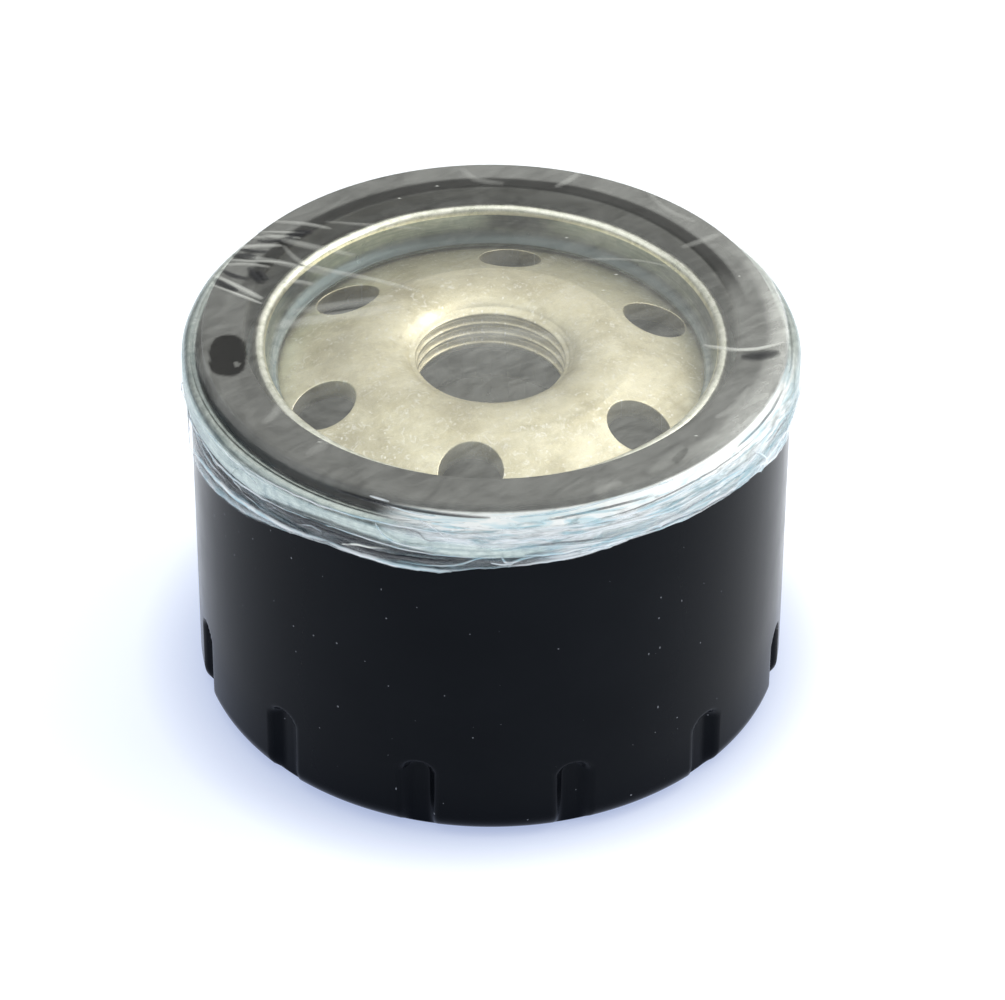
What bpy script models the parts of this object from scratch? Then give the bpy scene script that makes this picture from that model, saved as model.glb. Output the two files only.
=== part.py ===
"""Spin-on oil filter with clear shrink film over its threaded end.

The filter stands on its closed end. The origin is the centre of that end, +Z runs up the axis
towards the thread. Dimensions are written in millimetres and turned into metres as meshes are made.
"""
import math

import bmesh
import bpy
from mathutils import Matrix, Vector

MM = 0.001
GAP = 0.3                       # clearance between pieces that touch on the real filter

# Can: drawn steel cup with wrench flutes around its closed end
CAN_R = 37.35
CAN_WALL = 0.5
CAN_TOP_Z = 47.4
CORNER_R = 3.0
FLUTE_COUNT = 12
FLUTE_PHASE_DEG = 16.2          # a flute's centre, counter-clockwise from +X
FLUTE_DEPTH = 1.6
FLUTE_FULL_Z = 10.2             # below this height a flute has its full depth
FLUTE_END_Z = 12.2
CAN_COLUMNS = 120

# Lid: gasket channel, upturned inner wall and rolled seam bead
LID_SHEET = 0.5
LID_FLANGE_R = 26.7             # inner edge, lying on the base plate
LID_FLANGE_Z = 44.3
WALL_IN_R = 28.33
WALL_OUT_R = 29.33
WALL_TOP_Z = 49.2
CHANNEL_Z = 46.0
CHANNEL_OUT_R = 36.1
SHOULDER_Z = 48.6
BEAD_R = 38.35
BEAD_BOTTOM_Z = 45.0

# Base plate: domed disc with inlet holes and a drawn, threaded collar
PLATE_R = 35.2
PLATE_THICK = 2.6
CONE_SLOPE = 0.365
HOLE_COUNT = 6
HOLE_R = 3.94
HOLE_PITCH_R = 22.4
HOLE_PHASE_DEG = 83.9
HOLE_Z = 45.6                   # height of the cone's top face at the hole circle
COLLAR_R = 12.6
COLLAR_BOTTOM_Z = 40.6
THREAD_MINOR_R = 9.19           # M20 x 1.5, minor radius
THREAD_MAJOR_R = 10.0
THREAD_PITCH = 1.5
THREAD_TOP_Z = 46.6

# Gasket
GASKET_IN_R = 30.5
GASKET_OUT_R = 35.75
GASKET_TOP_Z = 51.0
GASKET_ROUND = 0.6

# Shrink film
FILM_THICK = 0.3
FILM_R = BEAD_R + GAP
FILM_BOTTOM_Z = 42.0
FILM_TOP_Z = GASKET_TOP_Z + 0.1
FILM_SHOULDER_Z = 48.9

# Filter element
CAP_R = 33.0
CAP_SHEET = 0.6
CAP_SKIRT = 3.2
TOP_CAP_Z = 37.6                # upper face of the upper cap
BOTTOM_CAP_Z = 8.2              # lower face of the lower cap
TOP_CAP_HOLE_R = 10.8
BOTTOM_CAP_HOLE_R = 7.5
POTTING_THICK = 0.7
MEDIA_OUT_R = 31.8
MEDIA_IN_R = 13.0
PLEAT_COUNT = 40
PAPER = 0.5
TUBE_OUT_R = 12.0
TUBE_IN_R = 11.4
TUBE_HOLE_R = 1.6
TUBE_HOLE_ROWS = 3
TUBE_HOLES_PER_ROW = 6

# Anti-drainback valve
VALVE_HUB_Z = 39.4
VALVE_THICK = 0.9
VALVE_HUB_IN_R = 9.7
VALVE_LIP_R = 27.2

# Bypass valve, inside the lower end of the centre tube
SEAT_HOLE_R = 5.0
SEAT_OUT_R = 11.0
SEAT_THICK = 0.6
POPPET_R = 8.0
POPPET_THICK = 0.8
SEAL_THICK = 0.7
CAGE_TOP_Z = 21.9
CAGE_HALF_WIDTH = 9.9
CAGE_DEPTH = 4.0
CAGE_SHEET = 0.6
BYPASS_COIL_R = 4.4
BYPASS_WIRE_R = 0.45

# Support spring, between the can's end and the lower cap
SUPPORT_COIL_R = 13.0
SUPPORT_WIRE_R = 0.6

ROUND = 48                      # segments of an ordinary turned piece
SMALL = 32                      # segments of a small or hidden turned piece


def clear_scene():
    """Remove every object that the file holds."""
    for obj in list(bpy.data.objects):
        bpy.data.objects.remove(obj, do_unlink=True)


def make_material(name, colour, roughness, metallic, alpha=1.0):
    """A Principled material in one plain colour."""
    material = bpy.data.materials.new(name)
    material.use_nodes = True
    shader = material.node_tree.nodes["Principled BSDF"]
    shader.inputs["Base Color"].default_value = (*colour, 1.0)
    shader.inputs["Roughness"].default_value = roughness
    shader.inputs["Metallic"].default_value = metallic
    shader.inputs["Alpha"].default_value = alpha
    material.diffuse_color = (*colour, alpha)
    return material


def arc(centre_r, centre_z, radius, start_deg, end_deg, steps):
    """Points of a circular arc in the (r, z) half plane, both ends included."""
    points = []
    for i in range(steps + 1):
        angle = math.radians(start_deg + (end_deg - start_deg) * i / steps)
        points.append((centre_r + radius * math.cos(angle), centre_z + radius * math.sin(angle)))
    return points


def finish_mesh(name, bm, material, smooth=True):
    """Turn a bmesh in millimetres into an object in metres, with outward normals."""
    bmesh.ops.remove_doubles(bm, verts=bm.verts, dist=0.0001)
    bmesh.ops.recalc_face_normals(bm, faces=bm.faces)
    bm.transform(Matrix.Scale(MM, 4))
    mesh = bpy.data.meshes.new(name)
    bm.to_mesh(mesh)
    bm.free()
    mesh.materials.append(material)
    for polygon in mesh.polygons:
        polygon.use_smooth = smooth
    if smooth:
        mesh.set_sharp_from_angle(angle=math.radians(35))
    obj = bpy.data.objects.new(name, mesh)
    bpy.context.scene.collection.objects.link(obj)
    return obj


def spin_profile(profile, segments, phase_deg=0.0):
    """Spin a closed (r, z) outline, or one that ends on the axis, all the way round Z."""
    bm = bmesh.new()
    phase = math.radians(phase_deg)
    verts = [bm.verts.new((r * math.cos(phase), r * math.sin(phase), z)) for r, z in profile]
    touches_axis = profile[0][0] == 0 and profile[-1][0] == 0
    edge_count = len(verts) - 1 if touches_axis else len(verts)
    edges = [bm.edges.new((verts[i], verts[(i + 1) % len(verts)])) for i in range(edge_count)]
    bmesh.ops.spin(bm, geom=verts + edges, cent=(0, 0, 0), axis=(0, 0, 1),
                   angle=2 * math.pi, steps=segments, use_merge=True, use_duplicate=False)
    return bm


def turned(name, profile, material, segments=ROUND):
    """A solid of revolution."""
    return finish_mesh(name, spin_profile(profile, segments), material)


def ring(name, inner_r, outer_r, low_z, high_z, material, segments=SMALL):
    """A plain flat ring."""
    profile = [(inner_r, low_z), (outer_r, low_z), (outer_r, high_z), (inner_r, high_z)]
    return turned(name, profile, material, segments)


def add_cylinder(bm, radius, depth, matrix, sides):
    """Add a capped cylinder to a bmesh of cutters."""
    bmesh.ops.create_cone(bm, cap_ends=True, segments=sides, radius1=radius, radius2=radius,
                          depth=depth, matrix=matrix)


def cut(obj, cutter_bm, material):
    """Cut a bmesh of cylinders out of an object with a Boolean modifier."""
    cutter = finish_mesh(obj.name + "_cutter", cutter_bm, material, smooth=False)
    cutter.hide_render = True
    cutter.display_type = "WIRE"
    modifier = obj.modifiers.new("holes", "BOOLEAN")
    modifier.operation = "DIFFERENCE"
    modifier.solver = "EXACT"
    modifier.object = cutter


def flute_amount(angle_deg):
    """1 on a flute's floor, 0 on the lands between flutes, for an angle around the can."""
    spacing = 360 / FLUTE_COUNT
    offset = abs((angle_deg - FLUTE_PHASE_DEG + spacing / 2) % spacing - spacing / 2)
    return min(1.0, max(0.0, (6.0 - offset) / 3.0))


def press_flutes(bm):
    """Press the flutes into a plain can; they run out through its bottom corner."""
    for vert in bm.verts:
        radius = math.hypot(vert.co.x, vert.co.y)
        if radius < CAN_R - CORNER_R:
            continue
        outside = radius > CAN_R - CAN_WALL / 2 or vert.co.z < CORNER_R * 0.5
        floor_r = CAN_R - FLUTE_DEPTH - (0.0 if outside else CAN_WALL)
        height = (FLUTE_END_Z - vert.co.z) / (FLUTE_END_Z - FLUTE_FULL_Z)
        amount = min(1.0, max(0.0, height))
        amount *= flute_amount(math.degrees(math.atan2(vert.co.y, vert.co.x)))
        pressed = radius - max(0.0, radius - floor_r) * amount
        vert.co.x *= pressed / radius
        vert.co.y *= pressed / radius


def build_can(material):
    """Cup of even wall thickness, open at the top where the lid is seamed on."""
    inner_corner = CORNER_R - CAN_WALL
    inner_r = CAN_R - CAN_WALL
    heights = (FLUTE_FULL_Z, FLUTE_END_Z, CAN_TOP_Z)
    profile = [(0, 0)]
    profile += arc(CAN_R - CORNER_R, CORNER_R, CORNER_R, -90, 0, 4)
    profile += [(CAN_R, z) for z in heights]
    profile += [(inner_r, z) for z in reversed(heights)]
    profile += arc(CAN_R - CORNER_R, CORNER_R, inner_corner, 0, -90, 4)
    profile += [(0, CAN_WALL)]
    bm = spin_profile(profile, CAN_COLUMNS, FLUTE_PHASE_DEG)
    press_flutes(bm)
    return finish_mesh("can", bm, material)


def build_lid(material):
    """Sheet lid, as the outline of its section: inner flange, hem, channel and seam bead."""
    hem_r = (WALL_OUT_R - WALL_IN_R) / 2
    bend = 1.8
    bend_z = LID_FLANGE_Z + LID_SHEET + bend
    bead_round = 1.25
    bead_centre_r = BEAD_R - bead_round
    bead_centre_z = SHOULDER_Z - bead_round
    profile = [(LID_FLANGE_R, LID_FLANGE_Z)]
    profile += arc(WALL_IN_R - bend, bend_z, bend, -85, 0, 2)
    profile += arc(WALL_IN_R + hem_r, WALL_TOP_Z - hem_r, hem_r, 180, 0, 4)
    profile += [(WALL_OUT_R, CHANNEL_Z + 0.3), (WALL_OUT_R + 0.3, CHANNEL_Z)]
    profile += [(CHANNEL_OUT_R - 0.3, CHANNEL_Z), (CHANNEL_OUT_R, CHANNEL_Z + 0.3)]
    profile += arc(CHANNEL_OUT_R + 0.8, SHOULDER_Z - 0.8, 0.8, 180, 90, 2)
    profile += arc(bead_centre_r, bead_centre_z, bead_round, 90, 0, 3)
    profile += [(BEAD_R, BEAD_BOTTOM_Z + 0.3), (BEAD_R - 0.15, BEAD_BOTTOM_Z)]
    profile += [(BEAD_R - LID_SHEET, BEAD_BOTTOM_Z)]
    profile += arc(bead_centre_r, bead_centre_z, bead_round - LID_SHEET, 0, 90, 2)
    profile += [(CHANNEL_OUT_R + 0.8, SHOULDER_Z - LID_SHEET)]
    profile += [(CHANNEL_OUT_R + LID_SHEET, SHOULDER_Z - 0.8)]
    profile += [(CHANNEL_OUT_R + LID_SHEET, CHANNEL_Z - 0.1)]
    profile += [(CHANNEL_OUT_R + 0.1, CHANNEL_Z - LID_SHEET)]
    profile += [(WALL_OUT_R - 0.6, CHANNEL_Z - LID_SHEET)]
    profile += arc(WALL_IN_R - bend, bend_z, bend + LID_SHEET, -35, -70, 1)
    return turned("seaming_lid", profile, material)


def thread_outline():
    """Section of the thread from its lower to its upper end, as even V-shaped ridges."""
    points = [(THREAD_MAJOR_R, COLLAR_BOTTOM_Z)]
    z = COLLAR_BOTTOM_Z + 0.6
    while z + THREAD_PITCH < THREAD_TOP_Z - 0.2:
        points.append((THREAD_MINOR_R, z))
        points.append((THREAD_MINOR_R, z + THREAD_PITCH * 0.25))
        points.append((THREAD_MAJOR_R, z + THREAD_PITCH * 0.625))
        z += THREAD_PITCH
    points.append((THREAD_MINOR_R, z))
    points.append((THREAD_MINOR_R, THREAD_TOP_Z - 0.4))
    return points


def cone_z(radius):
    """Height of the plate's conical top face."""
    return HOLE_Z + CONE_SLOPE * (HOLE_PITCH_R - radius)


def build_base_plate(material):
    """Domed plate: collar, cone with the inlet holes, and a flat rim under the channel."""
    rim_z = CHANNEL_Z - LID_SHEET - GAP
    profile = thread_outline()
    profile += [(10.3, THREAD_TOP_Z), (11.2, 47.5), (12.8, 47.85), (15.4, 47.8)]
    profile += [(18.0, cone_z(18.0)), (27.0, cone_z(27.0))]
    profile += [(28.4, 43.5), (29.6, 44.1), (30.4, rim_z), (PLATE_R, rim_z)]
    profile += [(PLATE_R, rim_z - PLATE_THICK + 0.3), (31.0, rim_z - PLATE_THICK)]
    profile += [(30.0, 41.7), (28.2, 41.0)]
    profile += [(26.8, cone_z(26.8) - PLATE_THICK), (18.0, cone_z(18.0) - PLATE_THICK)]
    profile += [(15.0, 44.9), (13.2, 44.5), (COLLAR_R, 43.7)]
    profile += [(COLLAR_R, COLLAR_BOTTOM_Z + 0.5), (COLLAR_R - 0.5, COLLAR_BOTTOM_Z)]
    plate = turned("base_plate", profile, material)
    cutters = bmesh.new()
    for i in range(HOLE_COUNT):
        angle = math.radians(HOLE_PHASE_DEG - i * 360 / HOLE_COUNT)
        place = Vector((HOLE_PITCH_R * math.cos(angle), HOLE_PITCH_R * math.sin(angle), HOLE_Z))
        add_cylinder(cutters, HOLE_R, 12.0, Matrix.Translation(place), 20)
    cut(plate, cutters, material)
    return plate


def build_gasket(material):
    """Rubber ring of nearly square section with rounded top edges."""
    low = CHANNEL_Z + GAP
    round_z = GASKET_TOP_Z - GASKET_ROUND
    profile = [(GASKET_IN_R, low), (GASKET_OUT_R, low)]
    profile += arc(GASKET_OUT_R - GASKET_ROUND, round_z, GASKET_ROUND, 0, 90, 2)
    profile += arc(GASKET_IN_R + GASKET_ROUND, round_z, GASKET_ROUND, 90, 180, 2)
    return turned("sealing_gasket", profile, material)


def build_film(material):
    """Clear cap over the gasket and bead, tented between them, with a straight skirt."""
    outer_r = FILM_R + FILM_THICK
    edge_r = GASKET_OUT_R + 0.2
    profile = [(0, FILM_TOP_Z + FILM_THICK), (edge_r, FILM_TOP_Z + FILM_THICK)]
    profile += [(outer_r, FILM_SHOULDER_Z), (outer_r, FILM_BOTTOM_Z)]
    profile += [(FILM_R, FILM_BOTTOM_Z), (FILM_R, FILM_SHOULDER_Z - 0.1)]
    profile += [(edge_r - 0.1, FILM_TOP_Z), (0, FILM_TOP_Z)]
    return turned("protective_film", profile, material)


def build_drainback_valve(material):
    """Rubber flap: a neck in the element's hole, a hub, and a lip that shuts off the holes."""
    top = VALVE_HUB_Z + VALVE_THICK
    lip_z = cone_z(VALVE_LIP_R) - PLATE_THICK - GAP
    profile = [(VALVE_HUB_IN_R, 36.2), (10.4, 36.2), (10.4, VALVE_HUB_Z - 0.3)]
    profile += [(10.7, VALVE_HUB_Z), (25.6, VALVE_HUB_Z), (VALVE_LIP_R, VALVE_HUB_Z + 0.5)]
    profile += [(VALVE_LIP_R, lip_z), (VALVE_LIP_R - 0.6, lip_z), (25.2, top)]
    profile += [(VALVE_HUB_IN_R, top)]
    return turned("anti_drainback_valve", profile, material, SMALL)


def build_end_cap(name, face_z, inward, hole_r, material):
    """Stamped disc with a turned-in rim; inward is +1 for the lower cap, -1 for the upper."""
    inner_z = face_z + inward * CAP_SHEET
    skirt_z = face_z + inward * CAP_SKIRT
    skirt_in_r = CAP_R - CAP_SHEET
    profile = [(hole_r, face_z), (CAP_R - 0.4, face_z), (CAP_R, face_z + inward * 0.4)]
    profile += [(CAP_R, skirt_z), (skirt_in_r, skirt_z), (skirt_in_r, inner_z), (hole_r, inner_z)]
    return turned(name, profile, material, SMALL)


def build_media(low_z, high_z, material):
    """Paper folded into a star: four points a pleat on each of its two faces."""
    pitch = 2 * math.pi / PLEAT_COUNT
    tip = 1.1 * PAPER / MEDIA_OUT_R
    tip_inside = 0.2 * PAPER / MEDIA_OUT_R
    root = 1.1 * PAPER / MEDIA_IN_R
    root_outside = 0.2 * PAPER / MEDIA_IN_R
    outside = []
    inside = []
    for k in range(PLEAT_COUNT):
        middle = k * pitch
        valley = middle + pitch / 2
        outside += [(MEDIA_OUT_R, middle - tip), (MEDIA_OUT_R, middle + tip)]
        outside += [(MEDIA_IN_R + PAPER, valley - root_outside)]
        outside += [(MEDIA_IN_R + PAPER, valley + root_outside)]
        inside += [(MEDIA_OUT_R - PAPER, middle - tip_inside)]
        inside += [(MEDIA_OUT_R - PAPER, middle + tip_inside)]
        inside += [(MEDIA_IN_R, valley - root), (MEDIA_IN_R, valley + root)]
    bm = bmesh.new()
    loops = []
    for outline, z in ((outside, low_z), (outside, high_z), (inside, high_z), (inside, low_z)):
        loops.append([bm.verts.new((r * math.cos(a), r * math.sin(a), z)) for r, a in outline])
    count = len(outside)
    for lower, upper in zip(loops, loops[1:] + loops[:1]):
        for i in range(count):
            j = (i + 1) % count
            bm.faces.new((lower[i], lower[j], upper[j], upper[i]))
    return finish_mesh("pleated_media", bm, material, smooth=False)


def extrude_outline(name, outline, normal, length, material):
    """Extrude a flat closed outline of 3-D points along a direction, centred on its plane."""
    bm = bmesh.new()
    shift = Vector(normal) * length / 2
    verts = [bm.verts.new(Vector(point) - shift) for point in outline]
    face = bm.faces.new(verts)
    extruded = bmesh.ops.extrude_face_region(bm, geom=[face])
    moved = [item for item in extruded["geom"] if isinstance(item, bmesh.types.BMVert)]
    bmesh.ops.translate(bm, verts=moved, vec=shift * 2)
    return finish_mesh(name, bm, material, smooth=False)


def build_seam_clip(low_z, high_z, material):
    """U-shaped steel clip over one pleat's outer fold, open towards the axis."""
    inner_half = 0.9
    outer_half = 1.2
    back_in = MEDIA_OUT_R + GAP
    back_out = back_in + 0.3
    leg_end = MEDIA_OUT_R - 3.6
    middle_z = (low_z + high_z) / 2
    flat = [(leg_end, outer_half), (back_out, outer_half), (back_out, -outer_half)]
    flat += [(leg_end, -outer_half), (leg_end, -inner_half), (back_in, -inner_half)]
    flat += [(back_in, inner_half), (leg_end, inner_half)]
    outline = [(x, y, middle_z) for x, y in flat]
    return extrude_outline("media_seam_clip", outline, (0, 0, 1), high_z - low_z, material)


def build_centre_tube(low_z, high_z, material):
    """Perforated tube that keeps the paper from collapsing inwards."""
    tube = ring("centre_tube", TUBE_IN_R, TUBE_OUT_R, low_z, high_z, material)
    cutters = bmesh.new()
    middle_r = (TUBE_IN_R + TUBE_OUT_R) / 2
    row_step = (high_z - low_z) / (TUBE_HOLE_ROWS + 1)
    for row in range(TUBE_HOLE_ROWS):
        for k in range(TUBE_HOLES_PER_ROW):
            angle = 2 * math.pi * (k + 0.5 * (row % 2)) / TUBE_HOLES_PER_ROW
            turn = Matrix.Rotation(angle, 4, "Z")
            place = Matrix.Translation((middle_r, 0, low_z + (row + 1) * row_step))
            lay = Matrix.Rotation(math.pi / 2, 4, "Y")
            add_cylinder(cutters, TUBE_HOLE_R, 3.0, turn @ place @ lay, 8)
    cut(tube, cutters, material)
    return tube


def build_poppet(low_z, material):
    """Valve disc with a short boss that centres the spring."""
    top = low_z + POPPET_THICK
    profile = [(0, low_z), (POPPET_R, low_z), (POPPET_R, top), (3.0, top), (2.7, top + 2.2)]
    profile += [(0, top + 2.2)]
    return turned("bypass_poppet", profile, material, SMALL)


def build_cage(low_z, material):
    """Bracket of bent strip: two legs on the seat and a bridge over the spring."""
    out = CAGE_HALF_WIDTH
    inn = CAGE_HALF_WIDTH - CAGE_SHEET
    under = CAGE_TOP_Z - CAGE_SHEET
    flat = [(-out, low_z), (-inn, low_z), (-inn, under), (inn, under), (inn, low_z)]
    flat += [(out, low_z), (out, CAGE_TOP_Z - 0.6), (out - 0.6, CAGE_TOP_Z)]
    flat += [(0.6 - out, CAGE_TOP_Z), (-out, CAGE_TOP_Z - 0.6)]
    outline = [(x, 0, z) for x, z in flat]
    return extrude_outline("bypass_cage", outline, (0, 1, 0), CAGE_DEPTH, material)


def coil_spring(name, coil_r, wire_r, low_z, high_z, turns, material):
    """Compression spring with a nearly flat turn at each end, swept as a bevelled curve."""
    per_turn = 12
    steps = int(turns * per_turn)
    flat_rise = 2.1 * wire_r
    start = low_z + wire_r
    rise = high_z - low_z - 2 * wire_r - 2 * flat_rise
    curve = bpy.data.curves.new(name, "CURVE")
    curve.dimensions = "3D"
    curve.bevel_depth = wire_r * MM
    curve.bevel_resolution = 1
    curve.use_fill_caps = True
    spline = curve.splines.new("POLY")
    spline.points.add(steps)
    for i in range(steps + 1):
        turn = i / per_turn
        middle = min(1.0, max(0.0, (turn - 1) / (turns - 2)))
        z = start + rise * middle
        z += flat_rise * (min(1.0, turn) + max(0.0, turn - turns + 1))
        angle = 2 * math.pi * turn
        place = (coil_r * math.cos(angle) * MM, coil_r * math.sin(angle) * MM, z * MM, 1.0)
        spline.points[i].co = place
    curve.materials.append(material)
    obj = bpy.data.objects.new(name, curve)
    bpy.context.scene.collection.objects.link(obj)
    return obj


def build_element(steel, tin, paper, adhesive):
    """End caps, potting, paper star, clip and centre tube."""
    cap_inner_low = BOTTOM_CAP_Z + CAP_SHEET + GAP
    cap_inner_high = TOP_CAP_Z - CAP_SHEET - GAP
    paper_low = cap_inner_low + POTTING_THICK + GAP
    paper_high = cap_inner_high - POTTING_THICK - GAP
    pot_in = TUBE_OUT_R + 0.4
    pot_out = CAP_R - CAP_SHEET - GAP
    build_end_cap("top_end_cap", TOP_CAP_Z, -1, TOP_CAP_HOLE_R, tin)
    build_end_cap("bottom_end_cap", BOTTOM_CAP_Z, 1, BOTTOM_CAP_HOLE_R, tin)
    ring("top_potting", pot_in, pot_out, cap_inner_high - POTTING_THICK, cap_inner_high, adhesive)
    ring("bottom_potting", pot_in, pot_out, cap_inner_low, cap_inner_low + POTTING_THICK, adhesive)
    build_media(paper_low, paper_high, paper)
    build_seam_clip(paper_low + 1.8, paper_high - 1.8, steel)
    build_centre_tube(cap_inner_low, cap_inner_high, tin)


def build_bypass(steel, tin, rubber, nylon):
    """Relief valve that opens upwards into the centre tube when the paper is clogged."""
    seat_z = BOTTOM_CAP_Z + CAP_SHEET + GAP
    seal_z = seat_z + SEAT_THICK + GAP
    poppet_z = seal_z + SEAL_THICK + GAP
    spring_low = poppet_z + POPPET_THICK + GAP
    spring_high = CAGE_TOP_Z - CAGE_SHEET - GAP
    ring("bypass_seat", SEAT_HOLE_R, SEAT_OUT_R, seat_z, seat_z + SEAT_THICK, tin)
    ring("bypass_seal", SEAT_HOLE_R - 0.6, POPPET_R - 0.4, seal_z, seal_z + SEAL_THICK, rubber)
    build_poppet(poppet_z, nylon)
    build_cage(seal_z, steel)
    coil_spring("bypass_spring", BYPASS_COIL_R, BYPASS_WIRE_R, spring_low, spring_high, 6, steel)


def build_seam_sealant(material):
    """Compound that fills the fold between the can's edge and the lid."""
    ring("seam_sealant", CAN_R - 0.45, CAN_R + 0.05, CAN_TOP_Z + 0.1, CAN_TOP_Z + 0.45, material, ROUND)


def main():
    clear_scene()
    black_paint = make_material("can_paint", (0.020, 0.021, 0.025), 0.32, 0.0)
    zinc = make_material("zinc_lid", (0.62, 0.66, 0.67), 0.28, 1.0)
    yellow_zinc = make_material("plate_zinc", (0.72, 0.68, 0.54), 0.34, 1.0)
    rubber = make_material("gasket_rubber", (0.06, 0.06, 0.06), 0.7, 0.0)
    valve_rubber = make_material("valve_rubber", (0.02, 0.02, 0.02), 0.6, 0.0)
    film = make_material("clear_film", (0.9, 0.93, 0.95), 0.12, 0.0, 0.25)
    steel = make_material("spring_steel", (0.45, 0.45, 0.46), 0.35, 1.0)
    tin = make_material("tinned_steel", (0.66, 0.66, 0.64), 0.35, 1.0)
    paper = make_material("filter_paper", (0.72, 0.60, 0.36), 0.9, 0.0)
    adhesive = make_material("potting", (0.55, 0.32, 0.12), 0.5, 0.0)
    nylon = make_material("nylon", (0.75, 0.73, 0.66), 0.5, 0.0)
    sealant = make_material("sealing_compound", (0.10, 0.12, 0.14), 0.8, 0.0)

    build_can(black_paint)
    build_lid(zinc)
    build_seam_sealant(sealant)
    build_base_plate(yellow_zinc)
    build_gasket(rubber)
    build_film(film)
    build_drainback_valve(valve_rubber)
    build_element(steel, tin, paper, adhesive)
    build_bypass(steel, tin, valve_rubber, nylon)
    coil_spring("support_spring", SUPPORT_COIL_R, SUPPORT_WIRE_R, CAN_WALL + GAP,
                BOTTOM_CAP_Z - GAP, 3.5, steel)


main()
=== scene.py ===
"""Looks of a short spin-on oil filter that stands on its closed end under a clear shrink film."""
import math

import bmesh
import bpy
import numpy as np
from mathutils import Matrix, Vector, noise


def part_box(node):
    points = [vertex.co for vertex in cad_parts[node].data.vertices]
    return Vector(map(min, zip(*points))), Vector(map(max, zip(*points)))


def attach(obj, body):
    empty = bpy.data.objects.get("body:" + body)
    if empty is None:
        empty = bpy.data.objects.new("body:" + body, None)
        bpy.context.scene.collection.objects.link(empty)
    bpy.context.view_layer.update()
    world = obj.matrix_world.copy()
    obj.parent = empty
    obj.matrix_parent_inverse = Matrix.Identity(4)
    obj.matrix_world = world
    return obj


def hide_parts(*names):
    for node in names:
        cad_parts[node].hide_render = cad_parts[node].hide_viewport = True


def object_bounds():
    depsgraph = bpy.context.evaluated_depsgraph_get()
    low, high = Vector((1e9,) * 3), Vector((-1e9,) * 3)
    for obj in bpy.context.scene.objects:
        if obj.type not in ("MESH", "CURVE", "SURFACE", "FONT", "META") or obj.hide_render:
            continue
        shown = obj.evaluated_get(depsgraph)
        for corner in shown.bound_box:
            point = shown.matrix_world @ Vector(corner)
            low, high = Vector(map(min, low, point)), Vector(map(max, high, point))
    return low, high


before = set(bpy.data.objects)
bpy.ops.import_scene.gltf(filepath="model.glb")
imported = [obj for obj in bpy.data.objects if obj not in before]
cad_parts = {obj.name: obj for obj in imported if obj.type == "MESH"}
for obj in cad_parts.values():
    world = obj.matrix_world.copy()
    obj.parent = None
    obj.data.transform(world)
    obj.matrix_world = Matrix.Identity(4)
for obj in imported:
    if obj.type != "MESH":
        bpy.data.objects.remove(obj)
cad_low, cad_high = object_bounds()

MM = 0.001


def reach(node):
    """Outer radius, lowest and highest point of a round CAD node, in millimetres."""
    low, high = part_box(node)
    return high.x / MM, low.z / MM, high.z / MM


CAN_R, _, CAN_TOP = reach("can")
BEAD_R, LID_BOTTOM, LID_TOP = reach("seaming_lid")
PLATE_R, PLATE_BOTTOM, _ = reach("base_plate")
GASKET_R, GASKET_BOTTOM, GASKET_TOP = reach("sealing_gasket")

# Can
CAN_WALL = 0.5
CORNER_R = 3.0
FLUTE_COUNT = 12
FLUTE_PHASE_DEG = 16.2
FLUTE_DEPTH = 1.4
FLUTE_TOP = 11.3                # mean height of the flutes' rounded tops
FLUTE_TOP_TILT = 0.9            # the tops stand higher on the -X side
FLUTE_HALF_IN = 1.2             # half width of a flute's floor
FLUTE_HALF_OUT = 2.4            # half width where it meets the wall

# Lid
LID_SHEET = 0.5
SKIRT_Z = LID_BOTTOM + 0.55     # where the bead's skirt curls in to the can
WALL_IN_R = 28.0
WALL_OUT_R = 29.55
CHANNEL_Z = 46.0
CHANNEL_OUT_R = 36.1
SHOULDER_Z = 48.6
LID_WORN_SHEEN_R = 29.9                # the hem inside this radius is worn bright and painted with a highlight, above this height
LID_WORN_SHEEN_Z = 48.3                # above this height

# Base plate
HOLE_COUNT = 6
HOLE_R = 3.94
HOLE_PITCH_R = 22.4
HOLE_PHASE_DEG = 83.9
HOLE_Z = 45.6
CONE_SLOPE = 0.365
PLATE_THICK = 2.6
SECTOR_IN_R = 17.4              # the stretch of cone that holds the inlet holes
SECTOR_OUT_R = 27.0
THREAD_MINOR_R = 9.19
THREAD_MAJOR_R = 10.0
THREAD_PITCH = 1.5
THREAD_TOP = 46.5
COLLAR_R = 12.6

# Gasket
GASKET_IN_R = 30.5

# Film
FILM_THICK = 0.05
FILM_LIFT = 0.04                # the film's height over the gasket's face
RIDGE_POINTS = 7                # points across a fold or crease


# ---- Mesh helpers

def arc(centre_r, centre_z, radius, start_deg, end_deg, steps):
    """Points of a circular arc in the (r, z) half plane, both ends included."""
    angles = np.radians(np.linspace(start_deg, end_deg, steps + 1))
    return [(centre_r + radius * math.cos(a), centre_z + radius * math.sin(a)) for a in angles]


def smooth_line(points, steps):
    """A Catmull-Rom curve through the points, with a number of steps between each two."""
    pts = np.array([points[0]] + list(points) + [points[-1]], float)
    out = []
    for i in range(1, len(pts) - 2):
        p0, p1, p2, p3 = pts[i - 1:i + 3]
        for t in np.arange(steps) / steps:
            out.append(0.5 * (2 * p1 + (p2 - p0) * t + (2 * p0 - 5 * p1 + 4 * p2 - p3) * t ** 2
                              + (3 * p1 - p0 - 3 * p2 + p3) * t ** 3))
    out.append(pts[-2])
    return [(float(r), float(z)) for r, z in out]


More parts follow.
